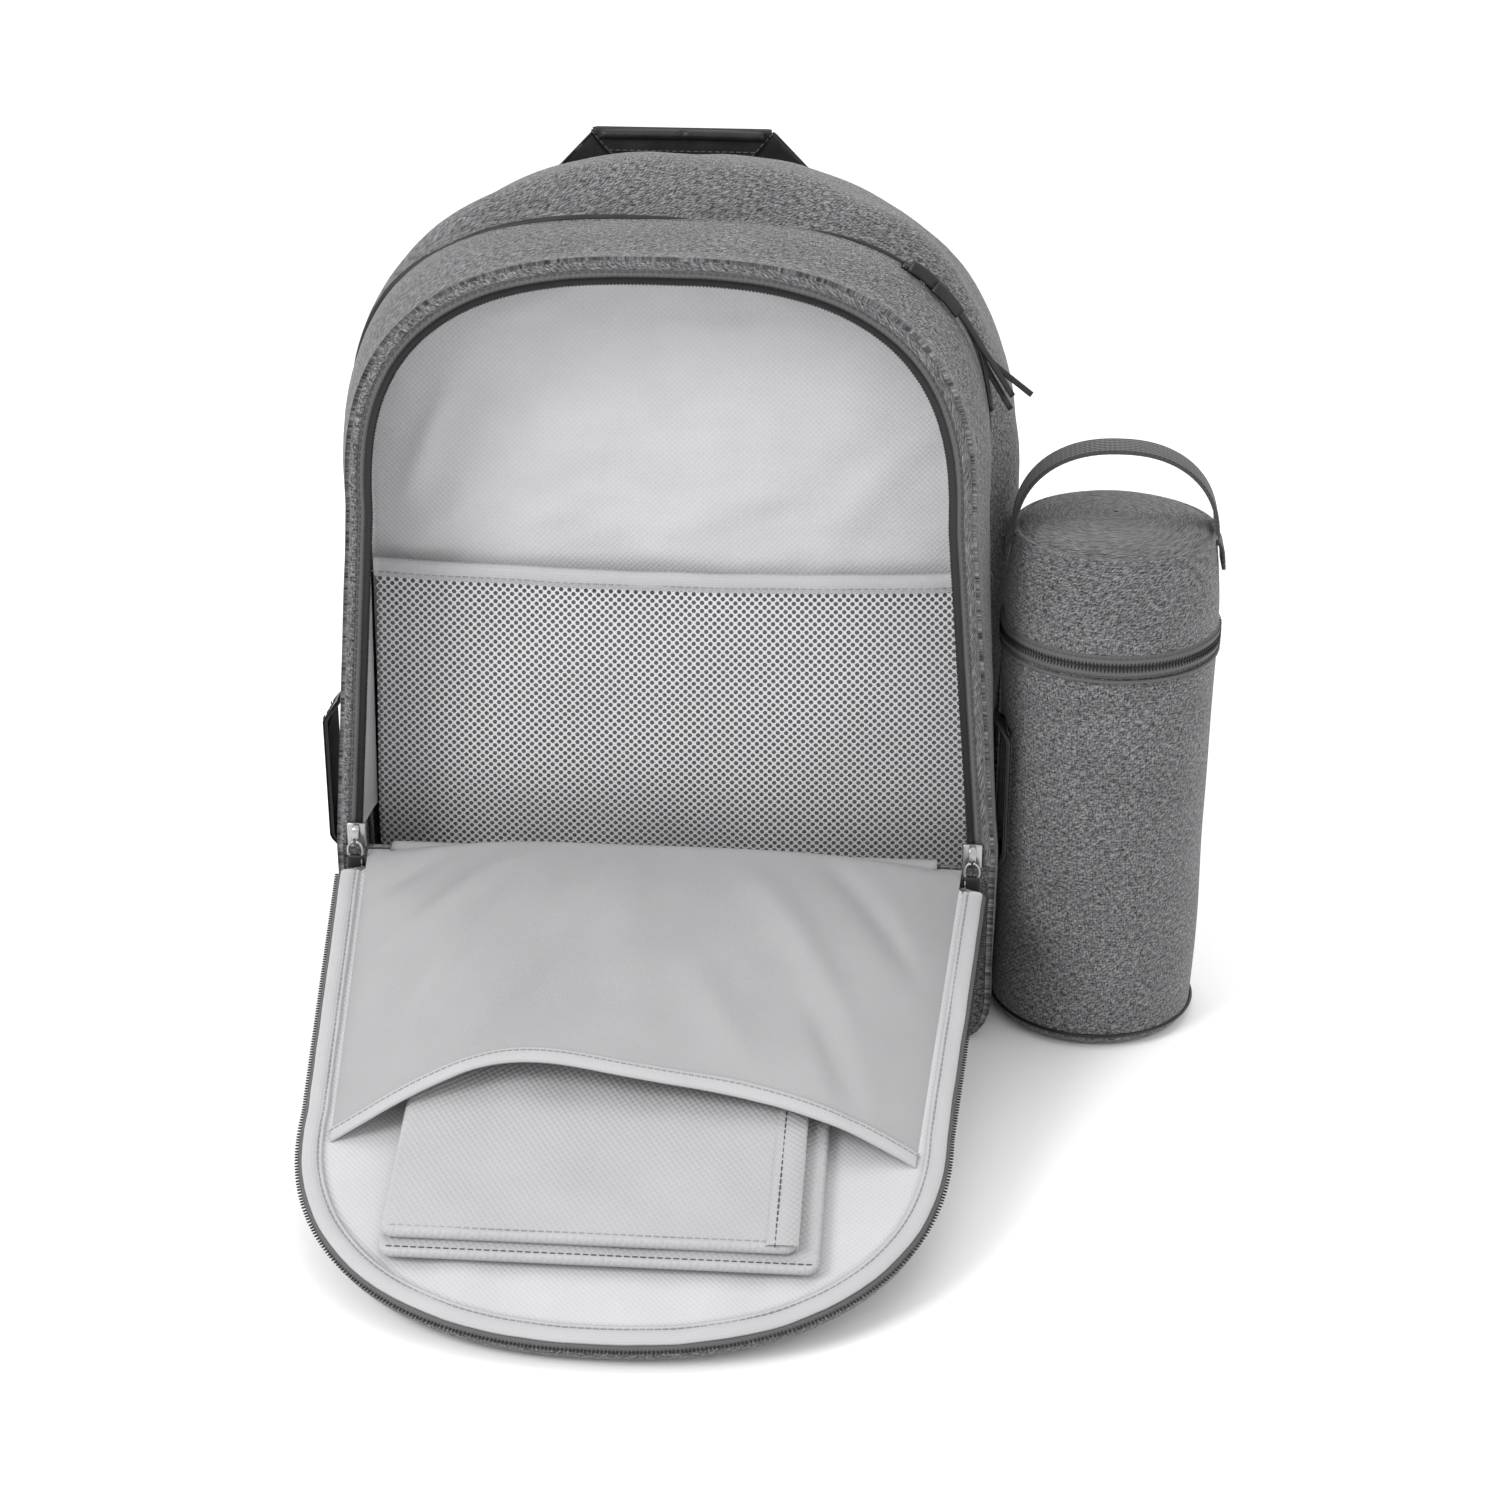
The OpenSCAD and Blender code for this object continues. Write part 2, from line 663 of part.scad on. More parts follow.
base_panel();
base_board();
front_wall();
front_gusset();
front_lining();
floor_lining();
divider_wall();
mesh_pocket();
mesh_binding();
front_zip_tape();
front_zip_coil();
rear_gusset();
rear_zip();
back_panel();
back_foam();
back_pads();
strap_yoke();
side_pocket_left();
side_pocket_right();
side_tab_left();
side_tab_right();
strap_anchor_left();
strap_anchor_right();
handle_strap();
handle_grip();
shoulder_strap_left();
ladder_lock_left();
webbing_left();
shoulder_strap_right();
ladder_lock_right();
webbing_right();
flap_shell();
flap_foam();
flap_lining();
flap_zip_tape();
flap_binding();
pocket_panel();
pocket_binding();
pad_lower_fold();
pad_upper_fold();
pad_binding();
zip_slider_left();
zip_pull_left();
zip_slider_right();
zip_pull_right();
rear_slider_upper();
rear_pull_upper();
rear_slider_lower();
rear_pull_lower();
pouch_body();
pouch_base();
pouch_lining();
pouch_zip_lower();
pouch_lid();
lid_lining();
pouch_zip_upper();
lid_strap();
pouch_slider();
pouch_pull();
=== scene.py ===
import json
from math import atan2, cos, exp, hypot, pi, radians, sin, sqrt

import bpy
import numpy as np
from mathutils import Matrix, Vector, noise


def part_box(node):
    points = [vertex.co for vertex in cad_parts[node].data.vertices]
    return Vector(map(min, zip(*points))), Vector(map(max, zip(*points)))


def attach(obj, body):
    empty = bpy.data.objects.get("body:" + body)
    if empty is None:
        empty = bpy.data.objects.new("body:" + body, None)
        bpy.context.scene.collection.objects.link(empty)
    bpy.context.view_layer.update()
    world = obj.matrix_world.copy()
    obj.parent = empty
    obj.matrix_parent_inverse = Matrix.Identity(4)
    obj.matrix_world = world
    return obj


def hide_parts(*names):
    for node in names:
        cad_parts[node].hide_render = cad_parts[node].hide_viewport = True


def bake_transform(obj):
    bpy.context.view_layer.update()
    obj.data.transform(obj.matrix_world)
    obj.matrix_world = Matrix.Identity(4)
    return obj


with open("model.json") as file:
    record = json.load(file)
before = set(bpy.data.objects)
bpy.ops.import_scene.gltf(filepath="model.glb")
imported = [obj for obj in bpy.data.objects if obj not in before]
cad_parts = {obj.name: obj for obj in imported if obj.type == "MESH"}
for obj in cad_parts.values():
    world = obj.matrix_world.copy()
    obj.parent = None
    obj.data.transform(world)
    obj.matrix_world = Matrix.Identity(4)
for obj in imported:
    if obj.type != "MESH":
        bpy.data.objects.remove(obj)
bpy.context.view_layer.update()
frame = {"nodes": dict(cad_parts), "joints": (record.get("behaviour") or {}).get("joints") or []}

MM = 0.001
SIDES = ((-1, "left"), (1, "right"))
JOINTS = {j["name"]: j for j in frame["joints"]}

# ---------------------------------------------------------------- materials


class Graph:
    """A principled material whose colour and bump are built up from procedural nodes."""

    def __init__(self, name, rough, metal=0.0, sheen=0.0, coords="UV"):
        self.mat = bpy.data.materials.new(name)
        self.mat.use_nodes = True
        self.tree = self.mat.node_tree
        self.bsdf = self.tree.nodes["Principled BSDF"]
        self.bsdf.inputs["Roughness"].default_value = rough
        self.bsdf.inputs["Metallic"].default_value = metal
        self.bsdf.inputs["Sheen Weight"].default_value = sheen
        self.bsdf.inputs["Specular IOR Level"].default_value = 0.35
        self.coords = self.node("ShaderNodeTexCoord").outputs[coords]

    def node(self, kind, **values):
        n = self.tree.nodes.new(kind)
        for key, value in values.items():
            n.inputs[key].default_value = value
        return n

    def link(self, a, b):
        self.tree.links.new(a, b)

    def turned(self, angle, scale):
        n = self.node("ShaderNodeMapping")
        n.inputs["Rotation"].default_value = (0, 0, radians(angle))
        n.inputs["Scale"].default_value = scale
        self.link(self.coords, n.inputs["Vector"])
        return n.outputs["Vector"]

    def noise(self, size, stretch=(1, 1, 1), angle=0, detail=2.0, rough=0.5):
        n = self.node("ShaderNodeTexNoise", Detail=detail, Roughness=rough)
        n.inputs["Scale"].default_value = 1.0 / size
        self.link(self.turned(angle, stretch), n.inputs["Vector"])
        return n.outputs["Fac"]

    def bands(self, period, angle, distort=0.0):
        n = self.node("ShaderNodeTexWave", Distortion=distort)
        n.inputs["Scale"].default_value = pi / (10 * period)
        self.link(self.turned(angle, (1, 1, 1)), n.inputs["Vector"])
        return n.outputs["Fac"]

    def ramp(self, fac, stops):
        n = self.node("ShaderNodeValToRGB")
        points = n.color_ramp.elements
        while len(points) < len(stops):
            points.new(0.5)
        for p, (at, value) in zip(points, stops):
            p.position = at
            p.color = (value, value, value * 1.01, 1)
        self.link(fac, n.inputs["Fac"])
        return n.outputs["Color"]

    def mix(self, a, b, fac, mode="MULTIPLY"):
        n = self.node("ShaderNodeMixRGB", Fac=fac)
        n.blend_type = mode
        self.link(a, n.inputs["Color1"])
        self.link(b, n.inputs["Color2"])
        return n.outputs["Color"]

    def add(self, a, b, share):
        n = self.node("ShaderNodeMath")
        n.operation = "MULTIPLY_ADD"
        n.inputs[1].default_value = share
        self.link(b, n.inputs[0])
        self.link(a, n.inputs[2])
        return n.outputs["Value"]

    def colour(self, out):
        self.link(out, self.bsdf.inputs["Base Color"])

    def bump(self, height, strength, distance):
        n = self.node("ShaderNodeBump", Strength=strength, Distance=distance)
        self.link(height, n.inputs["Height"])
        self.link(n.outputs["Normal"], self.bsdf.inputs["Normal"])

    def rough_by(self, fac, low, high):
        n = self.node("ShaderNodeMapRange")
        n.inputs["To Min"].default_value = low
        n.inputs["To Max"].default_value = high
        self.link(fac, n.inputs["Value"])
        self.link(n.outputs["Result"], self.bsdf.inputs["Roughness"])


def melange(name, low, high, coords="UV"):
    """Canvas of dark and light threads, in short slubs on a diagonal weave."""
    g = Graph(name, 0.92, sheen=0.15, coords=coords)
    weft = g.noise(0.0010, (0.30, 1.2, 1), 2, 2.0, 0.8)
    warp = g.noise(0.0010, (1.2, 0.42, 1), -3, 2.0, 0.8)
    half = g.node("ShaderNodeMath")
    half.operation = "MULTIPLY"
    half.inputs[1].default_value = 0.5
    g.link(g.add(weft, warp, 1.0), half.inputs[0])
    both = half.outputs["Value"]
    threads = g.ramp(both, [(0.40, low), (0.5, 0.42 * (low + high)), (0.60, high)])
    cloud = g.ramp(g.noise(0.03, (1, 1.6, 1), 20, 3.0), [(0.3, 0.80), (0.7, 1.0)])
    twill = g.bands(0.0016, 52, 1.5)
    shade = g.ramp(twill, [(0.1, 0.70), (0.7, 1.0)])
    g.colour(g.mix(g.mix(threads, cloud, 1.0), shade, 0.8))
    g.bump(g.add(both, twill, 0.3), 0.6, 0.0006)
    return g.mat


def woven(name, base, period, angle, contrast=0.06, rough=0.7, sheen=0.1, bump=0.25, coords="UV"):
    """Fine plain or twill weave with soft shade variation."""
    g = Graph(name, rough, sheen=sheen, coords=coords)
    first = g.bands(period, angle, 0.4)
    second = g.bands(period, angle - 90, 0.4)
    weave = g.add(first, second, 1.0)
    fine = g.noise(period * 0.8, detail=1.0)
    cells = g.ramp(g.add(weave, fine, 0.5), [(0.3, base * (1 - contrast)), (1.6, base * (1 + contrast))])
    cloud = g.ramp(g.noise(0.035, detail=3.0), [(0.3, 0.94), (0.7, 1.0)])
    g.colour(g.mix(cells, cloud, 1.0))
    g.bump(weave, bump, period * 0.3)
    g.rough_by(g.noise(0.02), rough - 0.06, rough + 0.06)
    return g.mat


def leather(name, base, rough=0.42):
    """Smooth coated leather with a fine pebble and slightly worn, lighter high spots."""
    g = Graph(name, rough)
    cell = g.node("ShaderNodeTexVoronoi", Scale=1.0 / 0.0012)
    g.link(g.coords, cell.inputs["Vector"])
    wear = g.noise(0.012, detail=4.0)
    g.colour(g.ramp(wear, [(0.35, base * 0.8), (0.75, base * 1.7)]))
    g.bump(g.add(cell.outputs["Distance"], wear, 0.3), 0.18, 0.0003)
    g.rough_by(wear, rough - 0.08, rough + 0.12)
    return g.mat


def hard(name, base, rough, metal=0.0):
    """Moulded plastic or plated metal with faint scuffs."""
    g = Graph(name, rough, metal=metal, coords="Object")
    scuff = g.noise(0.003, (1, 6, 1), 30, 4.0, 0.7)
    g.colour(g.ramp(scuff, [(0.3, base * 0.86), (0.7, base * 1.06)]))
    g.bump(scuff, 0.05, 0.0001)
    g.rough_by(scuff, rough * 0.8, rough * 1.25)
    return g.mat


M = {
    "melange_canvas": melange("melange", 0.022, 0.29),
    "canvas_cad": melange("melange_cad", 0.022, 0.29, "Object"),
    "lining_fabric": woven("lining", 0.49, 0.0018, 45, 0.045, 0.55, 0.15, 0.18),
    "lining_cad": woven("lining_cad", 0.49, 0.0018, 45, 0.045, 0.55, 0.15, 0.18, "Object"),
    # painted shade: dark colour for the sheet behind the mesh, standing in for the shade inside the pocket
    "pocket_painted_shade": woven("pocket_painted_shade", 0.20, 0.0018, 45, 0.05, 0.8),
    "mesh": woven("mesh_yarn", 0.56, 0.0009, 0, 0.10, 0.75),
    "light_binding": woven("binding_tape", 0.42, 0.0011, 90, 0.07, 0.7),
    "zip_tape": woven("zip_tape", 0.085, 0.0011, 30, 0.25, 0.7),
    "zip_coil": hard("zip_coil", 0.012, 0.35),
    "air_mesh": woven("air_mesh", 0.05, 0.0030, 45, 0.45, 0.9, 0.3, 0.9),
    "black_leather": leather("black_leather", 0.012),
    "webbing": woven("webbing", 0.035, 0.0022, 0, 0.35, 0.75, 0.2, 0.6),
    "buckle_plastic": hard("buckle_plastic", 0.015, 0.4),
    "pocket_nylon": woven("pocket_nylon", 0.33, 0.0010, 20, 0.035, 0.34, 0.05, 0.10),
    "pad_twill": woven("pad_twill", 0.39, 0.0022, 35, 0.05, 0.6, 0.15, 0.25),
    "thread_dark": hard("thread_dark", 0.08, 0.8),
    "thread_light": hard("thread_light", 0.30, 0.8),
    "slider_metal": hard("slider_metal", 0.42, 0.28, 1.0),
    "dark_metal": hard("dark_metal", 0.06, 0.35, 1.0),
    "board": hard("board", 0.02, 0.6),
}

# ---------------------------------------------------------------- mesh helpers


def in_mm(*pairs):
    """Pairs given in millimetres, as metres."""
    return [(a * MM, b * MM) for a, b in pairs]


def wave(p, size, seed=0.0):
    """Smooth random height at a point, between about -1 and 1, always the same for that point."""
    return noise.noise(Vector((p[0] / size + seed, p[1] / size - seed, p[2] / size + 2 * seed)))


def build(name, verts, faces, mat, body, uvs=None, replaces=(), slot=None):
    mesh = bpy.data.meshes.new(name)
    mesh.from_pydata([tuple(v) for v in verts], [], faces)
    mesh.update()
    if uvs is not None:
        layer = mesh.uv_layers.new(name="UVMap")
        for loop in mesh.loops:
            layer.data[loop.index].uv = uvs[loop.vertex_index]
    for polygon in mesh.polygons:
        polygon.use_smooth = True
    mesh.materials.append(M[mat])
    obj = bpy.data.objects.new(name, mesh)
    bpy.context.scene.collection.objects.link(obj)
    if body:
        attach(obj, body)
    if replaces:
        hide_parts(*replaces)
    return obj


def lengths(grid, axis):
    step = np.linalg.norm(np.diff(grid, axis=axis), axis=2)
    total = np.cumsum(step, axis=axis)
    zero = np.zeros_like(np.take(total, [0], axis=axis))
    return np.concatenate([zero, total], axis=axis)


def normals(grid):
    du = np.gradient(grid, axis=0)
    dv = np.gradient(grid, axis=1)
    n = np.cross(du, dv)
    return n / np.maximum(np.linalg.norm(n, axis=2, keepdims=True), 1e-12)


def sheet(name, grid, mat, body, thick=0.0, closed=False, flat=None, **rest):
    """A grid of points as a surface, or a slab when it has a thickness; closed joins last column to first."""
    grid = np.asarray(grid, float)
    if closed:
        if flat is not None:
            flat = np.concatenate([flat, np.asarray(flat)[:, :1]], axis=1)
        grid = np.concatenate([grid, grid[:, :1]], axis=1)
    n, m = grid.shape[:2]
    uv = np.stack([lengths(grid, 1), lengths(grid, 0)], axis=2) if flat is None else np.asarray(flat)
    uv = uv.reshape(-1, 2)
    at = np.arange(n * m).reshape(n, m)
    quads = np.stack([at[:-1, :-1], at[:-1, 1:], at[1:, 1:], at[1:, :-1]], axis=2).reshape(-1, 4)
    verts, faces, uvs = grid.reshape(-1, 3), quads.tolist(), uv
    if thick:
        inner = (grid - normals(grid) * thick).reshape(-1, 3)
        o = n * m
        verts, uvs = np.concatenate([verts, inner]), np.concatenate([uv, uv])
        faces += (quads[:, ::-1] + o).tolist()
        edges = [at[0, ::-1], at[-1]] + ([] if closed else [at[:, 0], at[::-1, -1]])
        for e in edges:
            faces += [[int(b), int(a), int(a) + o, int(b) + o] for a, b in zip(e[:-1], e[1:])]
    return build(name, verts, faces, mat, body, uvs.tolist(), **rest)


def resample(points, count, closed=False):
    p = np.asarray(points, float)
    if closed:
        p = np.concatenate([p, p[:1]])
    run = np.concatenate([[0], np.cumsum(np.linalg.norm(np.diff(p, axis=0), axis=1))])
    at = np.linspace(0, run[-1], count + 1)[:-1] if closed else np.linspace(0, run[-1], count)
    return np.stack([np.interp(at, run, p[:, i]) for i in range(p.shape[1])], axis=1)


def outward(path):
    """Unit normals at the left of a flat path's direction of travel."""
    t = np.gradient(path, axis=0)
    n = np.stack([-t[:, 1], t[:, 0]], axis=1)
    return n / np.maximum(np.linalg.norm(n, axis=1, keepdims=True), 1e-12)


def ribbon(name, path, profile, place, mat, body, ruffle=0.0, thick=0.0, closed=False, **rest):
    """A band along a flat path: profile lists (distance outwards, height); place turns them into points."""
    out = outward(path)
    rows = []
    for p, n in zip(path, out):
        lift = ruffle * noise.noise(Vector((p[0] * 45, p[1] * 45, 3.3)))
        side = ruffle * 0.6 * noise.noise(Vector((p[0] * 60, p[1] * 60, 7.1)))
        rows.append([place(*(p + n * (d + side)), h + lift) for d, h in profile])
    return sheet(name, rows, mat, body, thick, closed, **rest)


def blocks(name, centres, along, across, up, size, mat, body):
    """Many small rounded bars, such as stitches or teeth, as one mesh."""
    verts, faces = [], []
    a, b, c = size
    for p, t, s, u in zip(centres, along, across, up):
        o = len(verts)
        for k, (fa, fb) in enumerate([(-1, 0.6), (-0.6, 1), (0.6, 1), (1, 0.6)]):
            for sb, sc in [(-1, 0), (0, 1), (1, 0), (0, -1)]:
                verts.append(p + t * fa * a / 2 + s * sb * fb * b / 2 + u * sc * fb * c / 2)
        for k in range(3):
            for j in range(4):
                q = [o + 4 * k + j, o + 4 * k + (j + 1) % 4, o + 4 * k + 4 + (j + 1) % 4, o + 4 * k + 4 + j]
                faces.append(q)
        faces += [[o + 3, o + 2, o + 1, o], [o + 12, o + 13, o + 14, o + 15]]
    return build(name, verts, faces, mat, body)


def along_path(path, place, pitch, offset, height):
    """Centres and local directions for blocks set out along a flat path."""
    run = np.linalg.norm(np.diff(path, axis=0), axis=1).sum()
    p = resample(path, max(3, int(run / pitch)))
    n = outward(p)
    q = np.array([place(*(a + b * offset), height) for a, b in zip(p, n)])
    side = np.array([place(*(a + b * (offset + MM)), height) for a, b in zip(p, n)]) - q
    t = np.gradient(q, axis=0)
    t /= np.linalg.norm(t, axis=1, keepdims=True)
    side /= np.linalg.norm(side, axis=1, keepdims=True)
    return q, t, side, np.cross(t, side)


def stitches(name, path, place, offset, height, body, mat="thread_light", pitch=3.4 * MM):
    q, t, s, u = along_path(path, place, pitch, offset, height)
    return blocks(name, q, t, s, u, (2.4 * MM, 0.7 * MM, 0.7 * MM), mat, body)


def teeth(name, path, place, offset, height, body, width=3.2 * MM, pitch=1.5 * MM):
    q, t, s, u = along_path(path, place, pitch, offset, height)
    return blocks(name, q, s, t, u, (width, 0.95 * MM, 1.3 * MM), "zip_coil", body)


def rounded(width, thick, corner=0.45, steps=5):
    """Closed cross-section of a strap: a flat bar with round edges."""
    r = min(width, thick) * corner
    pts = []
    for cx, cy, start in [(1, 1, 0), (-1, 1, 90), (-1, -1, 180), (1, -1, 270)]:
        for i in range(steps):
            a = radians(start + 90 * i / (steps - 1))
            pts.append((cx * (width / 2 - r) + r * cos(a), cy * (thick / 2 - r) + r * sin(a)))
    return pts


def strap(name, line, widths, thick, across, mat, body, corner=0.45, **rest):
    """A flat bar swept along a line, with its width set across, closed at both ends."""
    line = np.asarray(line, float)
    t = np.gradient(line, axis=0)
    t /= np.linalg.norm(t, axis=1, keepdims=True)
    side = np.asarray(across, float) - t * (t @ np.asarray(across, float))[:, None]
    side /= np.linalg.norm(side, axis=1, keepdims=True)
    up = np.cross(t, side)
    rows = []
    last = len(line) - 1
    for i, p in enumerate(line):
        w = widths[i] if hasattr(widths, "__len__") else widths
        h = thick[i] if hasattr(thick, "__len__") else thick
        rows.append([p + side[i] * a + up[i] * b for a, b in rounded(w, h, corner)])
    ends = [[0.35 * (np.array(r)) + 0.65 * line[k] for r in rows[k]] for k in (0, last)]
    tips = [[line[k]] * len(rows[0]) for k in (0, last)]
    rows = [tips[0], ends[0]] + rows + [ends[1], tips[1]]
    return sheet(name, rows, mat, body, closed=True, **rest)


def curve_points(points, count):
    """Smooth line through a few points."""
    p = np.asarray(points, float)
    p = np.concatenate([2 * p[:1] - p[1:2], p, 2 * p[-1:] - p[-2:-1]])
    out = []
    for t in np.linspace(0, len(p) - 3 - 1e-6, count):
        i, f = int(t) + 1, t - int(t)
        a, b, c, d = p[i - 1], p[i], p[i + 1], p[i + 2]
        out.append(0.5 *
            (2 * b + (c - a) * f + (2 * a - 5 * b + 4 * c - d) * f**2 + (3 * b - a - 3 * c + d) * f**3))
    return np.array(out)


POLE = 0.0004  # share of the outline left open at the middle of a filled surface


def disc(name, outline, centre, place, height, mat, body, rings=26, wrinkle=0.0, size=0.04, seed=0.0, **rest):
    """Fill a closed outline with rings round a centre; height is a function of the ring's share."""
    rows, flat = [], []
    for r in np.linspace(1, POLE, rings):
        row = []
        flat.append(centre + (outline - centre) * r)
        for p in outline:
            a, b = centre + (p - centre) * r
            h = height(r, a, b) + wrinkle * min(1, 6 * (1 - r)) * wave((a, b, 0), size, seed)
            row.append(place(a, b, h))
        rows.append(row)
    return sheet(name, rows, mat, body, closed=True, flat=flat, **rest)


def fill(name, outline, centre, place, profile, mat, body, rings=22, wrinkle=0.0, size=0.05, seed=0.0,
        **rest):
    """A closed cushion: profile lists (distance outwards, height) from the lower face to the upper."""
    out = outward(np.concatenate([outline[-1:], outline, outline[:1]]))[1:-1]
    rows, flat = [], []
    low, high = profile[0][1], profile[-1][1]
    for r in np.linspace(POLE, 0.97, rings):
        flat.append(centre + (outline - centre) * r)
        rows.append([place(*(centre + (p - centre) * r), low) for p in outline])
    for d, h in profile:
        flat.append(outline + out * (d + abs(h - low)))
        rows.append([place(*(p + n * d), h) for p, n in zip(outline, out)])
    for r in np.linspace(0.97, POLE, rings):
        flat.append(centre + (outline - centre) * r)
        row = []
        for p in outline:
            a, b = centre + (p - centre) * r
            row.append(place(a, b, high + wrinkle * min(1, 6 * (1 - r)) * wave((a, b, 0), size, seed)))
        rows.append(row)
    return sheet(name, rows, mat, body, closed=True, flat=flat, **rest)


# ---------------------------------------------------------------- the bag's outlines

gusset_low, gusset_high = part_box("front_gusset")
rear_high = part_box("rear_gusset")[1]
coil_low, coil_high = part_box("front_zip_coil")
tape_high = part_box("front_zip_tape")[1]
front_y, line_y, back_y = gusset_low.y, gusset_high.y, rear_high.y
half_w = gusset_high.x
hinge_z, top_z = coil_low.z, coil_high.z
SPRING = 160 * MM  # height over the hinge at which the opening's arch begins
LEAN = 13.5 * MM  # how far each side of the opening leans in up to there
open_foot = coil_high.x
open_side = open_foot - LEAN
spring_z = hinge_z + SPRING
tape_w = tape_high.x - open_foot
open_k, line_k, rear_k = 2.7, 3.0, 2.4
SKIN = 2.8 * MM  # thickness of the bag's cloth
CORNER = 17 * MM


def turn(ws, zs, zt, k, steps=24):
    a = np.radians(np.linspace(0, 90, steps))
    return np.stack([ws * np.cos(a) ** (2 / k), zs + (zt - zs) * np.sin(a) ** (2 / k)], axis=1)


def arch(foot, w, ws, zs, zt, k, count):
    """Arch from its left foot over the top to its right foot."""
    right = np.concatenate([[[w, foot]], turn(ws, zs, zt, k)])
    return resample(np.concatenate([right * [-1, 1], right[::-1]]), count)


def whole(w, ws, zs, zt, k, count=241):
    """Closed outline of the bag at one depth, from the bottom's centre up the right, down the left."""
    a = np.radians(np.linspace(-90, 0, 7))
    corner = np.stack([w - CORNER + CORNER * np.cos(a), CORNER + CORNER * np.sin(a)], axis=1)
    right = np.concatenate([[[0, 0]], corner, [[w, hinge_z]], turn(ws, zs, zt, k)])
    half = resample(right, count // 2 + 1)
    return np.concatenate([half, half[-2::-1] * [-1, 1]])


SECTIONS = [
    (front_y, half_w, open_side + tape_w, spring_z, top_z + tape_w, open_k),
    (line_y, half_w - 4 * MM, open_side + 12 * MM, spring_z, top_z + 11 * MM, line_k),
    (line_y + 12 * MM, half_w - 4 * MM, open_side + 18 * MM, spring_z - 5 * MM, top_z + 26 * MM, 2.7),
    (line_y + 26 * MM, half_w - 3 * MM, open_side + 21 * MM, spring_z - 10 * MM, top_z + 31 * MM, rear_k),
    (line_y + 57 * MM, half_w - 2 * MM, open_side + 20 * MM, spring_z - 10 * MM, top_z + 24 * MM, rear_k),
    (back_y, half_w - 4 * MM, open_side + 14 * MM, spring_z - 10 * MM, top_z + 2 * MM, rear_k),
]


def loft(stations, amp, seed, inset=0.0, outline=whole):
    rows = []
    for s in stations:
        pts = outline(s[1] - inset, s[2] - inset, s[3], s[4] - inset, s[5])
        rows.append([(p[0], s[0], p[1]) for p in pts])
    grid = np.array(rows)
    n = normals(grid)
    centre = grid.mean(axis=(0, 1))
    if ((grid - centre) * n).sum() < 0:
        n = -n
    fade = np.sin(np.linspace(0, pi, len(grid))) ** 0.5
    for i in range(grid.shape[0]):
        for j in range(grid.shape[1]):
            p = grid[i, j]
            rise = wave(p, 0.055, seed) + 0.45 * wave(p, 0.022, seed + 4)
            calm = min(1, max(0.0, (p[2] - 0.004) / 0.02))
            grid[i, j] = p + n[i, j] * amp * fade[i] * rise * calm
    grid[:, :, 2] = np.maximum(grid[:, :, 2], 0.0003)
    return grid


def bag_shell():
    """Front and rear gussets with the base, lofted from the sections as soft cloth."""
    count = 9
    front = []
    for t in np.linspace(0, 1, count):
        s = np.array(SECTIONS[0]) * (1 - t) + np.array(SECTIONS[1]) * t
        puff = 2.2 * MM * sin(pi * t)
        s[1:3] += puff
        s[4] += puff
        front.append(s)
    grid = loft(front, 1.0 * MM, 1.0)
    sheet("front_gusset_cloth", grid[::-1], "melange_canvas", "bag", SKIN, True,
        replaces=["front_gusset", "base_panel"])
    rear = curve_points(SECTIONS[1:], 27)
    grid = loft(rear, 2.2 * MM, 5.0)
    depth = np.clip((grid[:, :, 1] - line_y) / (26 * MM), 0,
        1) * np.clip((back_y - grid[:, :, 1]) / (18 * MM), 0, 1)
    rise = np.clip(grid[:, :, 2] / spring_z, 0, 1.4)
    grid[:, :, 0] += 3.0 * MM * depth * rise
    left = np.clip(-grid[:, :, 0] / half_w, 0, 1) * np.clip((grid[:, :, 2] - 0.22) / 0.08, 0, 1)
    grid[:, :, 0] += 4.0 * MM * left * depth
    sheet("rear_gusset_cloth", grid[::-1], "melange_canvas", "bag", SKIN, True, replaces=["rear_gusset"])
    line = whole(*SECTIONS[1][1:])
    wobble = np.array([[wave((p[0], p[1], 0), 0.05, 2.0), wave((p[0], p[1], 1), 0.05, 3.0)] for p in line])
    line = line + wobble * 1.8 * MM
    line[:, 1] = np.maximum(line[:, 1], 1.4 * MM)
    out = -outward(np.concatenate([line[-1:], line, line[:1]]))[1:-1]
    # The piping is the seam's real black piping, drawn thick and set out from the seam so that it also paints
    # the shadow of the deep fold there.
    for name, r, lift, at, mat in (
        ("rear_seam_piping_and_painted_shadow", 1.9 * MM, 2.0 * MM, -0.5 * MM, "black_leather"),
        ("rear_seam_tape", 1.0 * MM, -0.5 * MM, 3.4 * MM, "melange_canvas"),
    ):
        a = np.radians(np.arange(0, 360, 45))
        profile = [(lift + r * cos(x), at + r * sin(x)) for x in a]
        rows = []
        for dd, h in profile + profile[:1]:
            rows.append([(p[0] + n[0] * dd, line_y - h, p[1] + n[1] * dd) for p, n in zip(line, out)])
        obj = sheet(name, rows, mat, "bag", closed=True, slot="zip_coil")
        if name == "rear_seam_piping_and_painted_shadow":
            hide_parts("rear_zip")


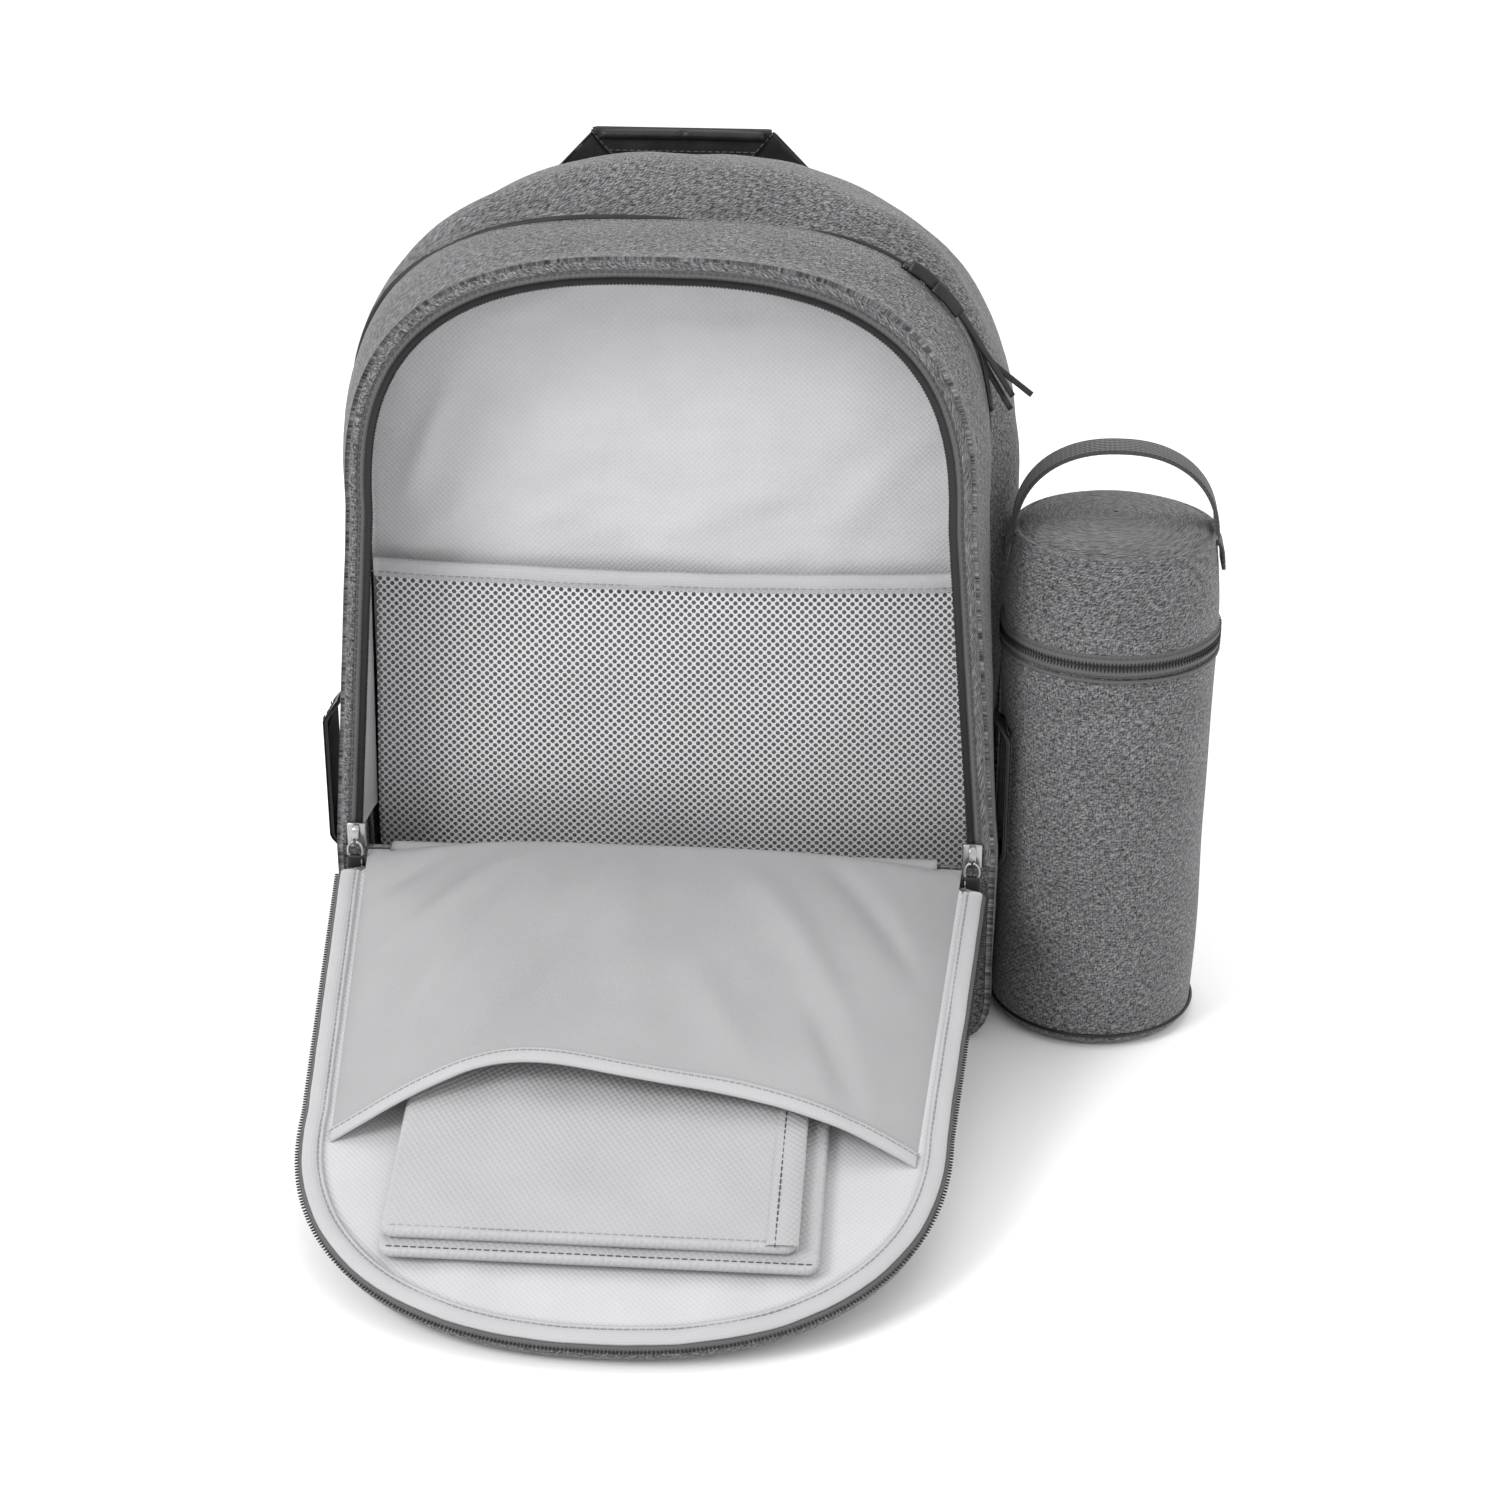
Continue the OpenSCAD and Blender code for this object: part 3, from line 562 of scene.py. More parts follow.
def back_and_front_panels():
    s = SECTIONS[5]
    outline = whole(*s[1:])
    centre = np.array([0, 0.19])
    place = lambda a, b, h: (a, back_y + h, b)
    disc("back_panel_cloth", outline[::-1], centre, place, lambda r, a, b: 2.5 * MM * (1 - r**8) - 1 * MM,
        "melange_canvas", "bag", wrinkle=1.0 * MM, thick=SKIN, replaces=["back_panel", "back_foam"])
    rows = []
    for z in np.linspace(0.6 * MM, hinge_z - 0.5 * MM, 18):
        drop = max(0.0, CORNER - z)
        w = half_w - CORNER + sqrt(max(0.0, CORNER**2 - drop**2)) - 0.5 * MM
        row = []
        for t in np.linspace(-1, 1, 61):
            puff = 1.2 * MM * (1 - t**6) * sin(pi * min(1, z / hinge_z) ** 0.8)
            row.append((w * t, front_y - puff - 0.4 * MM * wave((t * w, z, 0), 0.04), z))
        rows.append(row)
    sheet("front_wall_cloth", rows, "melange_canvas", "bag", SKIN, replaces=["front_wall"])


def back_pads():
    """Two quilted air-mesh pads on the back."""
    low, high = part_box("back_pads")
    inner_x = low.x + 94 * MM
    for side, name in SIDES:
        cx = side * abs(low.x + inner_x) / 2
        cz, hw, hh = (low.z + high.z) / 2, 47 * MM, (high.z - low.z) / 2
        a = np.radians(np.linspace(0, 360, 145)[:-1])
        pts = np.stack([np.sign(np.cos(a)) * np.abs(np.cos(a)) ** 0.35 * hw,
            np.sign(np.sin(a)) * np.abs(np.sin(a)) ** 0.12 * hh], axis=1)
        outline = resample(pts + [cx, cz], 168, closed=True)

        def crown(r, x, z):
            channel = exp(-(((z - cz + 300 * MM) % (44 * MM) - 22 * MM) / (2.6 * MM)) ** 2)
            return 9.5 * MM * (1 - r**7) * (1 - 0.55 * channel * (1 - r**4)) + 0.3 * MM

        place = lambda x, z, h: (x, back_y + h, z)
        obj = disc(f"back_pad_{name}", outline[::-1], np.array([cx, cz]), place, crown, "air_mesh", "bag",
            rings=34)
        if side > 0:
            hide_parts("back_pads")


def arch_open(d, count=181):
    return arch(hinge_z, open_foot + d, open_side + d, spring_z, top_z + d, open_k, count)


def front_place(x, z, h):
    return (x, front_y - h, z)


def front_zip():
    """Zip tape and coil round the front opening."""
    path = arch_open(0)
    tape = in_mm((-0.2, 0.2), (0, 1.3), (2.0, 1.6), (3.6, 1.5), (4.4, 0.4))
    ribbon("front_tape", path, tape, front_place, "zip_tape", "bag", 0.3 * MM, replaces=["front_zip_tape"])
    flange = in_mm((3.6, 0.3), (3.7, 1.7), (4.6, 2.3), (6.2, 2.0), (7.4, 0.8), (7.8, -1.5))
    ribbon("front_rim_flange", path, flange, front_place, "melange_canvas", "bag", 0.5 * MM)
    stitches("front_tape_stitch", path, front_place, 2.9 * MM, 1.7 * MM, "bag", "thread_dark")
    coil = in_mm((0.3, 1.6), (-1.4, 1.9), (-2.2, 1.0), (-1.6, -0.2))
    obj = ribbon("front_coil", path, coil, front_place, "zip_coil", "bag", 0.2 * MM, 0.5 * MM,
        slot="zip_coil")
    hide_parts("front_zip_coil")
    teeth("front_coil_teeth", path, front_place, -1.3 * MM, 1.3 * MM, "bag")


def crease(x, z, a, b, width, height):
    """Height of a soft ridge from a to b at (x, z)."""
    d = np.subtract(b, a)
    t = ((x - a[0]) * d[0] + (z - a[1]) * d[1]) / (d @ d)
    if not 0 < t < 1:
        return 0.0
    off = hypot(x - a[0] - t * d[0], z - a[1] - t * d[1])
    return height * exp(-((off / width) ** 2)) * sin(pi * t)


FOLDS = [
    ((-0.125, 0.235), (-0.095, 0.300), 0.006, 3.2 * MM),
    ((-0.130, 0.215), (-0.080, 0.245), 0.007, 2.6 * MM),
    ((-0.02, 0.222), (0.07, 0.262), 0.010, 1.8 * MM),
    ((0.06, 0.220), (0.12, 0.285), 0.009, 1.9 * MM),
    ((-0.10, 0.325), (-0.03, 0.340), 0.007, 1.6 * MM),
    ((0.02, 0.345), (0.10, 0.325), 0.006, 1.5 * MM),
]


def interior():
    """Lining round the rim and the divider's wrinkled face."""
    inset = SKIN + 1.1 * MM
    rows = []
    for t in np.linspace(0, 1, 8):
        s = np.array(SECTIONS[0]) * (1 - t) + np.array(SECTIONS[1]) * t
        pts = arch(hinge_z, s[1] - inset, s[2] - inset, s[3], s[4] - inset, s[5], 181)
        y = front_y + 0.4 * MM + (line_y - front_y - 1.2 * MM) * t
        rows.append([(p[0], y, p[1]) for p in pts])
    grid = np.array(rows)
    n = normals(grid)
    for i in range(1, 7):
        for j in range(grid.shape[1]):
            grid[i, j] += n[i, j] * 0.6 * MM * wave(grid[i, j], 0.018, 8.0)
    sheet("rim_lining", grid, "lining_fabric", "bag", 0.5 * MM, replaces=["front_lining"])

    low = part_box("divider_wall")[0]
    s = SECTIONS[1]
    d = SKIN + 1.2 * MM
    outline = arch(low.z, s[1] - d, s[2] - d, s[3], s[4] - d, s[5], 200)
    outline = resample(outline, 210, closed=True)

    def face(r, x, z):
        fold = sum(crease(x, z, *f) for f in FOLDS)
        soft = 2.4 * MM * wave((x, z * 1.6, 0), 0.05, 9.0) + 0.8 * MM * wave((x, z * 2, 2), 0.02, 11.0)
        turn_at = atan2(z - 0.2, x) / pi
        gather = 1.5 * MM * noise.noise(Vector((turn_at * 26, 0.4, 0))) * exp(-(((1 - r) - 0.07) / 0.07) ** 2)
        return (fold + soft) * min(1, 5 * (1 - r)) + gather + 2.2 * MM * (1 - r**6)

    place = lambda x, z, h: (x, low.y + 0.5 * MM - h, z)
    disc("divider_face", outline, np.array([0, 0.2]), place, face, "lining_fabric", "bag", rings=60,
        thick=1.2 * MM, replaces=["divider_wall"])


mesh_low, mesh_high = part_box("mesh_pocket")
band_low, band_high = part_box("mesh_binding")


def mesh_half(z):
    """Half width of the mesh pocket at a height."""
    t = min(1.0, max(0.0, (z - hinge_z) / (mesh_high.z - hinge_z)))
    return mesh_high.x + (band_high.x - mesh_high.x) * t


def mesh_y(x, z):
    """Depth of the mesh: it hangs slack and bulges forward low down."""
    t = (z - mesh_low.z) / (mesh_high.z - mesh_low.z)
    side = 1 - (x / mesh_half(z)) ** 2
    bulge = 9 * MM * sin(pi * min(1, max(0, t))) ** 1.2 * side
    lump = 2.5 * MM * wave((x, z, 0), 0.05, 6.0) * side
    return mesh_low.y - bulge - lump


def mesh_sag(x):
    return -3.5 * MM * (1 - (x / band_high.x) ** 2)


def mesh_pocket():
    """Open mesh with real holes on a diamond lattice, a dark sheet of painted shade behind it, and its top
    binding.
    """
    pitch = 3.9 * MM
    base, top = hinge_z - 26 * MM, mesh_high.z
    verts, index, faces = [], {}, []

    def vertex(x, z):
        key = (round(x / (0.05 * MM)), round(z / (0.05 * MM)))
        if key not in index:
            w = mesh_half(z)
            xs = x / mesh_high.x * w
            zz = z + mesh_sag(xs) * max(0, (z - base) / (top - base))
            index[key] = len(verts)
            verts.append((xs, mesh_y(xs, z), zz))
        return index[key]

    hole = 0.285 * pitch
    columns = int(mesh_high.x / pitch)
    for j in range(int((top - base) / (pitch / 2))):
        cz = base + (j + 1) * pitch / 2
        for i in range(-columns, columns + 1):
            cx = (i + 0.5 * (j % 2)) * pitch
            if abs(cx) > mesh_high.x - pitch / 2:
                continue
            rim, inner = [], []
            for k in range(8):
                a = radians(45 * k)
                reach = pitch / 2 if k % 2 == 0 else pitch / (2 * sqrt(2))
                rim.append(vertex(cx + reach * cos(a), cz + reach * sin(a)))
                inner.append(vertex(cx + hole * cos(a), cz + hole * sin(a)))
            for k in range(8):
                m = (k + 1) % 8
                faces.append([rim[k], rim[m], inner[m], inner[k]])
    obj = build("mesh_net", verts, faces, "mesh", "bag", [(v[0], v[2]) for v in verts], ["mesh_pocket"])

    # Dark sheet behind the mesh: painted shade, so the holes show the shade inside the pocket.
    rows = []
    for z in np.linspace(mesh_low.z, mesh_high.z, 22):
        w = mesh_half(z)
        rows.append([
            (
                w * t,
                mesh_y(w * t, z) * 0.25 + (mesh_high.y + 4.5 * MM) * 0.75,
                z + mesh_sag(w * t) * (z - mesh_low.z) / (mesh_high.z - mesh_low.z),
            )
            for t in np.linspace(-1, 1, 50)
        ])
    sheet("pocket_painted_shade_sheet", rows, "pocket_painted_shade", "bag", slot="lining_fabric")

    count = 80
    rows = []
    h = band_high.z - band_low.z
    for d, out in [(-0.15, 0.2), (0.0, 1.2), (0.35, 1.7), (0.8, 1.6), (1.0, 0.9), (1.02, -0.3), (0.9, -1.4)]:
        row = []
        for t in np.linspace(-1, 1, count):
            x = band_high.x * t
            z = band_low.z + h * d + mesh_sag(x) + 0.5 * MM * wave((x, 0, 0), 0.03, 1.0)
            row.append((x, mesh_y(x, mesh_high.z) - out * MM + 0.4 * MM * wave((x, 0, 0), 0.02, 5.0), z))
        rows.append(row)
    sheet("mesh_top_binding", rows, "light_binding", "bag", 0.4 * MM, replaces=["mesh_binding"])
    path = np.stack([np.linspace(-band_high.x, band_high.x, 60), np.full(60, band_low.z + 1.4 * MM)], axis=1)
    place = lambda x, z, k: (x, mesh_y(x, mesh_high.z) - k, z + mesh_sag(x))
    stitches("mesh_binding_stitch", path, place, 0, 1.9 * MM, "bag", "thread_light")


# ---------------------------------------------------------------- side pockets, tabs, handle, straps


def side_pockets():
    for side, name in SIDES:
        low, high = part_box(f"side_pocket_{name}")
        base_x = half_w + 0.2 * MM
        reach = (high.x if side > 0 else -low.x) - base_x - 1.5 * MM
        rows = []
        for h in np.linspace(0, 1, 26):
            row = []
            for t in np.linspace(0, 1, 30):
                z = low.z + (high.z - low.z) * h
                y = low.y + (high.y - low.y) * t
                tuck = max(0.0, 1 - h / 0.08) ** 2
                out = reach * sin(pi * t) ** 0.8 * (0.35 + 0.65 * sin(radians(20 + 135 * h))) * (1 - 0.6 *
                    tuck)
                out += 0.9 * MM * wave((y, z, side), 0.03, 4.0) * sin(pi * t)
                row.append((side * (base_x + out + 1.2 * MM), y, z))
            rows.append(row)
        grid = rows if side > 0 else [r[::-1] for r in rows]
        sheet(f"side_pocket_cloth_{name}", grid, "melange_canvas", "bag", 1.4 * MM,
            replaces=[f"side_pocket_{name}"])
        top = np.array(rows[-1])
        strap(f"side_pocket_edge_{name}", top, 5 * MM, 3.2 * MM, (0, 0, 1), "webbing", "bag", slot="webbing")
        low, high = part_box(f"side_tab_{name}")
        x = (low.x + high.x) / 2
        w, h = (high.y - low.y), (high.z - low.z)
        cy, cz = (low.y + high.y) / 2, (low.z + high.z) / 2
        c = 5 * MM
        pts = [(-w / 2 + c, -h / 2), (w / 2 - c, -h / 2), (w / 2, -h / 2 + c), (w / 2, h / 2 - c),
            (w / 2 - c, h / 2), (-w / 2 + c, h / 2), (-w / 2, h / 2 - c), (-w / 2, -h / 2 + c)]
        outline = resample(np.array(pts) + [cy, cz], 80, closed=True)
        lean = lambda z: 6.5 * MM * min(1.0, 3 * sin(pi * min(1, max(0, (z - low.z) / (high.z - low.z)))))
        place = lambda y, z, k: (side * (abs(x) + k + lean(z)), y, z)
        t = (high.x - low.x) / 2
        profile = [(-0.8 * MM, -t), (0, -t * 0.4), (0, t * 0.5), (-0.5 * MM, t * 0.95), (-1.2 * MM, t * 1.1)]
        rim = outline if side > 0 else outline[::-1]
        fill(f"side_tab_leather_{name}", rim, np.array([cy, cz]), place, [(-d, k) for d, k in profile],
            "black_leather", "bag", rings=6, replaces=[f"side_tab_{name}"])
        stitches(f"side_tab_stitch_{name}", resample(np.array(pts) * 0.86 + [cy, cz], 90, closed=True), place,
            0, t * 1.25, "bag", "thread_dark", 3 * MM)


def handle():
    """Folded leather grip that flares to two flat sewn feet."""
    low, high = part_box("handle_grip")
    foot_low, foot_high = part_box("handle_strap")
    y = (low.y + high.y) / 2
    half, top, base = high.x + 7 * MM, high.z, foot_low.z
    grip_low = low.z + 1 * MM
    place = lambda x, z, k: (x, y - k, z)
    grip = [(-half, top), (half, top), (half - 9 * MM, grip_low), (-half + 9 * MM, grip_low)]
    left = [(-half - 1 * MM, top - 1 * MM), (-half + 9 * MM, grip_low), (-half + 13 * MM, base),
        (-foot_high.x, base)]
    right = [(half + 1 * MM, top - 1 * MM), (foot_high.x, base), (half - 13 * MM, base),
        (half - 9 * MM, grip_low)]
    for name, pts, thick, nodes in (
        ("handle_grip_leather", grip, 4.4 * MM, ["handle_grip"]),
        ("handle_foot_left", left, 3.2 * MM, []),
        ("handle_foot_right", right, 3.2 * MM, ["handle_strap"]),
    ):
        rim = resample(pts, 120, closed=True)
        clockwise = np.cross(rim[1] - rim[0], rim.mean(axis=0) - rim[0]) < 0
        if name != "handle_foot_left" or not clockwise:
            rim = rim[::-1]
        t = thick / 2
        profile = [(-0.9 * MM, -t), (-0.2 * MM, -t * 0.7), (0, 0), (-0.2 * MM, t * 0.7), (-0.9 * MM, t)]
        fill(name, rim, rim.mean(axis=0), place, profile, "black_leather", "handle", rings=8,
            wrinkle=0.5 * MM, size=0.012, replaces=nodes)
    seam = np.stack([np.linspace(-half + 8 * MM, half - 8 * MM, 50), np.full(50, grip_low + 4.2 * MM)],
        axis=1)
    stitches("handle_stitch", seam, place, 0, 2.5 * MM, "handle", "thread_dark", 3 * MM)
    for side, name in SIDES:
        fold = np.array([(side * half, top - 1 * MM), (side * (half - 12 * MM), base + 3 * MM)])
        stitches(f"handle_fold_{name}", resample(fold, 20), place, 0, 2.3 * MM, "handle", "thread_dark",
            2.4 * MM)
        rolled = [(side * (half - 3 * MM), y - 2.2 * MM, top - 1.6 * MM), (0, y - 2.6 * MM, top - 1.2 * MM)]
        strap(f"handle_roll_{name}", curve_points(rolled, 12), 4.6 * MM, 4.6 * MM, (0, 0, 1), "black_leather",
            "handle", 0.49)


def shoulder_straps():
    for side, name in SIDES:
        body = f"strap_{name}"
        low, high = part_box(f"shoulder_strap_{name}")
        lock_low, lock_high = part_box(f"ladder_lock_{name}")
        web_low, web_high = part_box(f"webbing_{name}")
        inner, outer = (low.x, high.x) if side > 0 else (-high.x, -low.x)
        mid = lambda t: side * (inner + 24 * MM + (outer - inner - 45 * MM) * t)
        route = [
            (mid(0.0), low.y + 7 * MM, high.z),
            (mid(0.17), low.y + 10 * MM, high.z - 32 * MM),
            (mid(0.36), low.y + 15 * MM, high.z - 67 * MM),
            (mid(0.58), low.y + 18.5 * MM, high.z - 105 * MM),
            (mid(0.8), low.y + 18 * MM, high.z - 145 * MM),
            (mid(1.0), low.y + 13.5 * MM, low.z + 1 * MM),
        ]
        line = curve_points(route, 44)
        share = np.linspace(0, 1, 44)
        widths = 53 * MM * np.interp(share, [0, 0.06, 0.3, 0.6, 0.85, 1], [0.84, 0.95, 1.0, 0.95, 0.84, 0.66])
        thick = 11 * MM * np.interp(share, [0, 0.05, 0.5, 0.95, 1], [0.45, 0.95, 1.0, 0.9, 0.4])
        obj = strap(f"shoulder_pad_{name}", line, widths, thick, (1, 0, 0), "webbing", body, 0.48,
            replaces=[f"shoulder_strap_{name}"])
        for edge in (-1, 1):
            rim = line + np.stack([edge * (widths / 2 - 1.5 * MM), np.zeros(44), np.zeros(44)], axis=1)
            strap(f"shoulder_edge_{name}_{'a' if edge < 0 else 'b'}", rim, 4.5 * MM, thick * 0.55, (1, 0, 0),
                "air_mesh", body, 0.48, slot="webbing")
        lock = (lock_low + lock_high) / 2

        def web(label, points, count, w, t, **rest):
            line = curve_points(points, count)
            strap(f"{label}_{name}", line, w, t, (1, 0, 0), "webbing", body, 0.4, **rest)

        web("lock_tab", [(lock.x, lock.y + 2.6 * MM, lock_low.z - 2 * MM),
            (lock.x, lock.y + 4.0 * MM, lock_high.z - 4 * MM),
            (line[-3][0], line[-3][1] + 4.4 * MM, line[-1][2] + 9 * MM),
            (line[-6][0], line[-6][1] + 5.4 * MM, line[-1][2] + 22 * MM)], 16, 24 * MM, 1.8 * MM,
            slot="webbing")
        foot = np.array([side * (max(abs(web_low.x), abs(web_high.x)) - 9 * MM), web_low.y + 0.8 * MM,
            web_low.z + 4 * MM])
        web("webbing_run", [(lock.x, lock.y + 3.8 * MM, lock_low.z + 8 * MM),
            (lock.x, lock.y - 1 * MM, lock_low.z - 1 * MM),
            (lock.x + side * 5 * MM, lock.y - 2.2 * MM, lock_low.z - 20 * MM),
            tuple(foot + [-side * 12 * MM, 4 * MM, 28 * MM]), tuple(foot)], 36, 20 * MM, 1.7 * MM,
            replaces=[f"webbing_{name}"])
        web("webbing_tail", [(lock.x, lock.y + 4.5 * MM, lock_low.z + 6 * MM),
            (lock.x - side * 2 * MM, lock.y + 6 * MM, lock_low.z - 14 * MM),
            (lock.x - side * 4 * MM, lock.y + 3 * MM, lock_low.z - 44 * MM)], 20, 20 * MM, 1.7 * MM,
            slot="webbing")
    low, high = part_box("strap_yoke")
    y, z = high.y - 1.5 * MM, (low.z + high.z) / 2
    line = [(x, y - 0.5 * MM, z - 1 * MM * (x / high.x) ** 2) for x in np.linspace(low.x, high.x, 40)]
    strap("yoke_band", line, high.z - low.z + 4 * MM, 4 * MM, (0, 0, 1), "melange_canvas", "bag", 0.4,
        replaces=["strap_yoke"])


# ---------------------------------------------------------------- the flap

hinge = JOINTS["flap_hinge"]
hinge_at = Vector(hinge["pos_m"])
open_angle = radians(-hinge["range_deg"][0])
COS, SIN = cos(open_angle), sin(open_angle)
root_gap = 3 * MM
notch = 16 * MM
neck = open_foot - 16 * MM
open_h = top_z - hinge_z
flap_k = 2.3


def lay(x, u, v):
    """Point of the open flap: across, out from the hinge, height over the binding's face."""
    return (x, hinge_at.y + v * COS - u * SIN, hinge_at.z + v * SIN + u * COS)


def flap_half(u, d=0.0):
    return open_foot + d - LEAN * u / SPRING


def flap_arch(d, count=181):
    right = np.concatenate([[[flap_half(notch, d), notch]], turn(open_side + d, SPRING, open_h + d, flap_k)])
    return resample(np.concatenate([right * [-1, 1], right[::-1]]), count)


def flap_outline(count=260):
    rim = flap_arch(0, 181)
    ends = [[[-neck, root_gap], [-neck, notch - 1 * MM]], [[neck, notch - 1 * MM], [neck, root_gap]]]
    return resample(np.concatenate([ends[0], rim, ends[1]]), count, closed=True)


def flap_body():
    """Padded shell with a rounded rim, its lining, the zip and the binding round its edge."""
    outline = flap_outline()
    centre = np.array([0, 0.13])
    profile = in_mm((1.5, -11.9), (4.2, -11.3), (5.8, -9.8), (6.3, -7.6), (6.2, -5.4), (5.6, -3.8),
        (3.5, -3.4))
    obj = fill("flap_padded_shell", outline, centre, lay, profile, "melange_canvas", "flap", rings=14,
        replaces=["flap_shell", "flap_foam"])
    inner = resample(np.concatenate([[[-neck, root_gap]], flap_arch(-3 * MM, 161), [[neck, root_gap]]]), 220,
        closed=True)

    def face(r, x, u):
        pucker = 0.9 * MM * max(0, (u - 0.17) / 0.1) * sin(x / 0.0052) * max(0.0, 1 - abs(r - 0.9) / 0.12)
        return -2.6 * MM + 0.8 * MM * wave((x, u, 0), 0.035, 2.0) * min(1, 5 * (1 - r)) + pucker

    disc("flap_inner_lining", inner, centre, lay, face, "lining_fabric", "flap", rings=44, thick=0.9 * MM,
        replaces=["flap_lining"])
    rim = flap_arch(0, 260)
    tape = in_mm((6.9, -4.4), (7.1, -2.9), (5.2, -2.0), (2.0, -2.2))
    ribbon("flap_tape", rim, tape, lay, "zip_tape", "flap", 0.2 * MM, 0.4 * MM, replaces=["flap_zip_tape"])
    teeth("flap_coil_teeth", rim, lay, 6.9 * MM, -3.3 * MM, "flap")
    bind = in_mm((4.4, -3.0), (5.4, -1.6), (5.2, -0.9), (4.0, 0.0), (1.6, 0.2),
        (-0.4, 0.0), (-1.2, -0.6), (-2.0, -0.3), (-3.2, -0.6), (-3.6, -2.6))
    ribbon("flap_edge_binding", rim, bind, lay, "light_binding", "flap", 0.6 * MM, 0.4 * MM,
        replaces=["flap_binding"])
    stitches("flap_binding_stitch", rim, lay, -1.3 * MM, -0.3 * MM, "flap", "thread_light", 3.0 * MM)


POCKET_L = 158 * MM
CROWN = 24 * MM
FLAP_FOLDS = [  # from, to, width, height; across as a share, then from hinge to mouth
    ((-0.95, 0.55), (-0.35, 0.05), 0.045, 2.2 * MM),
    ((-0.8, 0.9), (-0.45, 0.25), 0.05, 3.0 * MM),
    ((-0.55, 1.0), (-0.2, 0.3), 0.06, -2.4 * MM),
    ((0.25, 0.1), (0.75, 0.75), 0.06, 2.6 * MM),
    ((0.5, 0.02), (0.95, 0.5), 0.045, -2.4 * MM),
    ((0.1, 0.5), (0.45, 1.0), 0.07, 1.8 * MM),
    ((0.55, 0.6), (0.8, 1.0), 0.05, -1.8 * MM),
    ((-0.1, 0.05), (0.0, 0.9), 0.09, 1.4 * MM),
    ((-1.0, 0.25), (-0.6, 0.02), 0.04, -1.6 * MM),
]


def panel_point(r, t, lift=0.0):
    """Point of the flap pocket: r from the hinge to the mouth, t across from -1 to 1."""
    mouth = POCKET_L + 14 * MM * t * t - 13 * MM * exp(-(((t + 0.42) / 0.36) **
        2)) - 5 * MM * exp(-(((t - 0.2) / 0.5) ** 2))
    u = root_gap - 2 * MM + (mouth - root_gap + 2 * MM) * r
    lean = t + 0.35 * (1 - t * t)
    roll = sin(radians(90 * min(1, r / 0.07))) ** 0.7
    rise = 2 * MM + 13 * MM * roll + (CROWN - 13 * MM) * sin(radians(90 * min(1, r / 0.45)))
    v = -1.6 * MM + rise * (1 - abs(t) ** 4) * (1 - 0.30 * r * lean * lean)
    edge = min(1, 8 * (1 - abs(t))) * min(1, 6 * r)
    fold = sum(crease(t, r, *f) for f in FLAP_FOLDS)
    soft = 1.1 * MM * wave((t * 0.12, u, 0), 0.045, 3.0)
    return lay(t * (flap_half(u) - 5.6 * MM), u, v + lift + (1.25 * fold + soft) * edge)


def flap_pocket():
    """Nylon pocket panel that gapes at its mouth, with the mouth's binding."""
    across = np.sin(np.linspace(-pi / 2, pi / 2, 97))
    rows = [[panel_point(r, t) for t in across] for r in np.linspace(0, 1, 64) ** 1.15]
    obj = sheet("flap_pocket_panel", rows, "pocket_nylon", "flap", 0.9 * MM, replaces=["pocket_panel"])
    edge = np.array(rows[-1])
    slope = edge - np.array(rows[-4])
    slope /= np.linalg.norm(slope, axis=1, keepdims=True)
    up = Vector(lay(0, 0, 1)) - Vector(lay(0, 0, 0))
    up = np.array(up)
    bands = []
    for along, high in [(-1.5, -1.6), (-1.0, 0.9), (0.5, 1.3), (3.5, 1.4), (6.0, 1.1), (7.0, 0.2),
            (6.4, -1.0), (3.0, -1.3), (0.0, -1.5)]:
        bands.append(edge + slope * along * MM + up * high * MM)
    sheet("pocket_mouth_binding", bands, "light_binding", "flap", replaces=["pocket_binding"])
    q = resample(edge + slope * 1.2 * MM + up * 1.45 * MM, 92)
    t = np.gradient(q, axis=0)
    t /= np.linalg.norm(t, axis=1, keepdims=True)
    ups = np.tile(up, (len(q), 1))
    blocks("pocket_mouth_stitch", q, t, np.cross(t, ups), ups, (2.2 * MM, 0.7 * MM, 0.6 * MM), "thread_light",
        "flap")


def root_cloth():
    """Canvas and lining that join the flap to the bag along the hinge."""
    lower = [(2.9, -9.0), (2.6, -5.5), (1.4, -3.2), (-0.2, -2.4), (-2.6, -2.6), (-6.0, -3.4)]
    upper = [(7.2, -9.0), (6.9, -3.5), (5.2, 0.2), (2.6, 1.4), (0.2, 1.2), (-2.6, 0.6), (-5.2, 0.4)]
    for name, mat, route, half in (
        ("flap_root_canvas", "melange_canvas", lower, neck + 6 * MM),
        ("flap_root_lining", "pocket_nylon", upper, neck - 1 * MM),
    ):
        rows = []
        for k, (y, z) in enumerate(route):
            row = []
            for x in np.linspace(-half, half, 61):
                lump = 0.35 * MM * wave((x, k * 0.01, 0), 0.02, 6.0)
                row.append((x, hinge_at.y + y * MM, hinge_at.z + z * MM + lump))
            rows.append(row)
        obj = sheet(name, rows, mat, None, 0.8 * MM)
        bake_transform(obj)


# ---------------------------------------------------------------- the changing pad


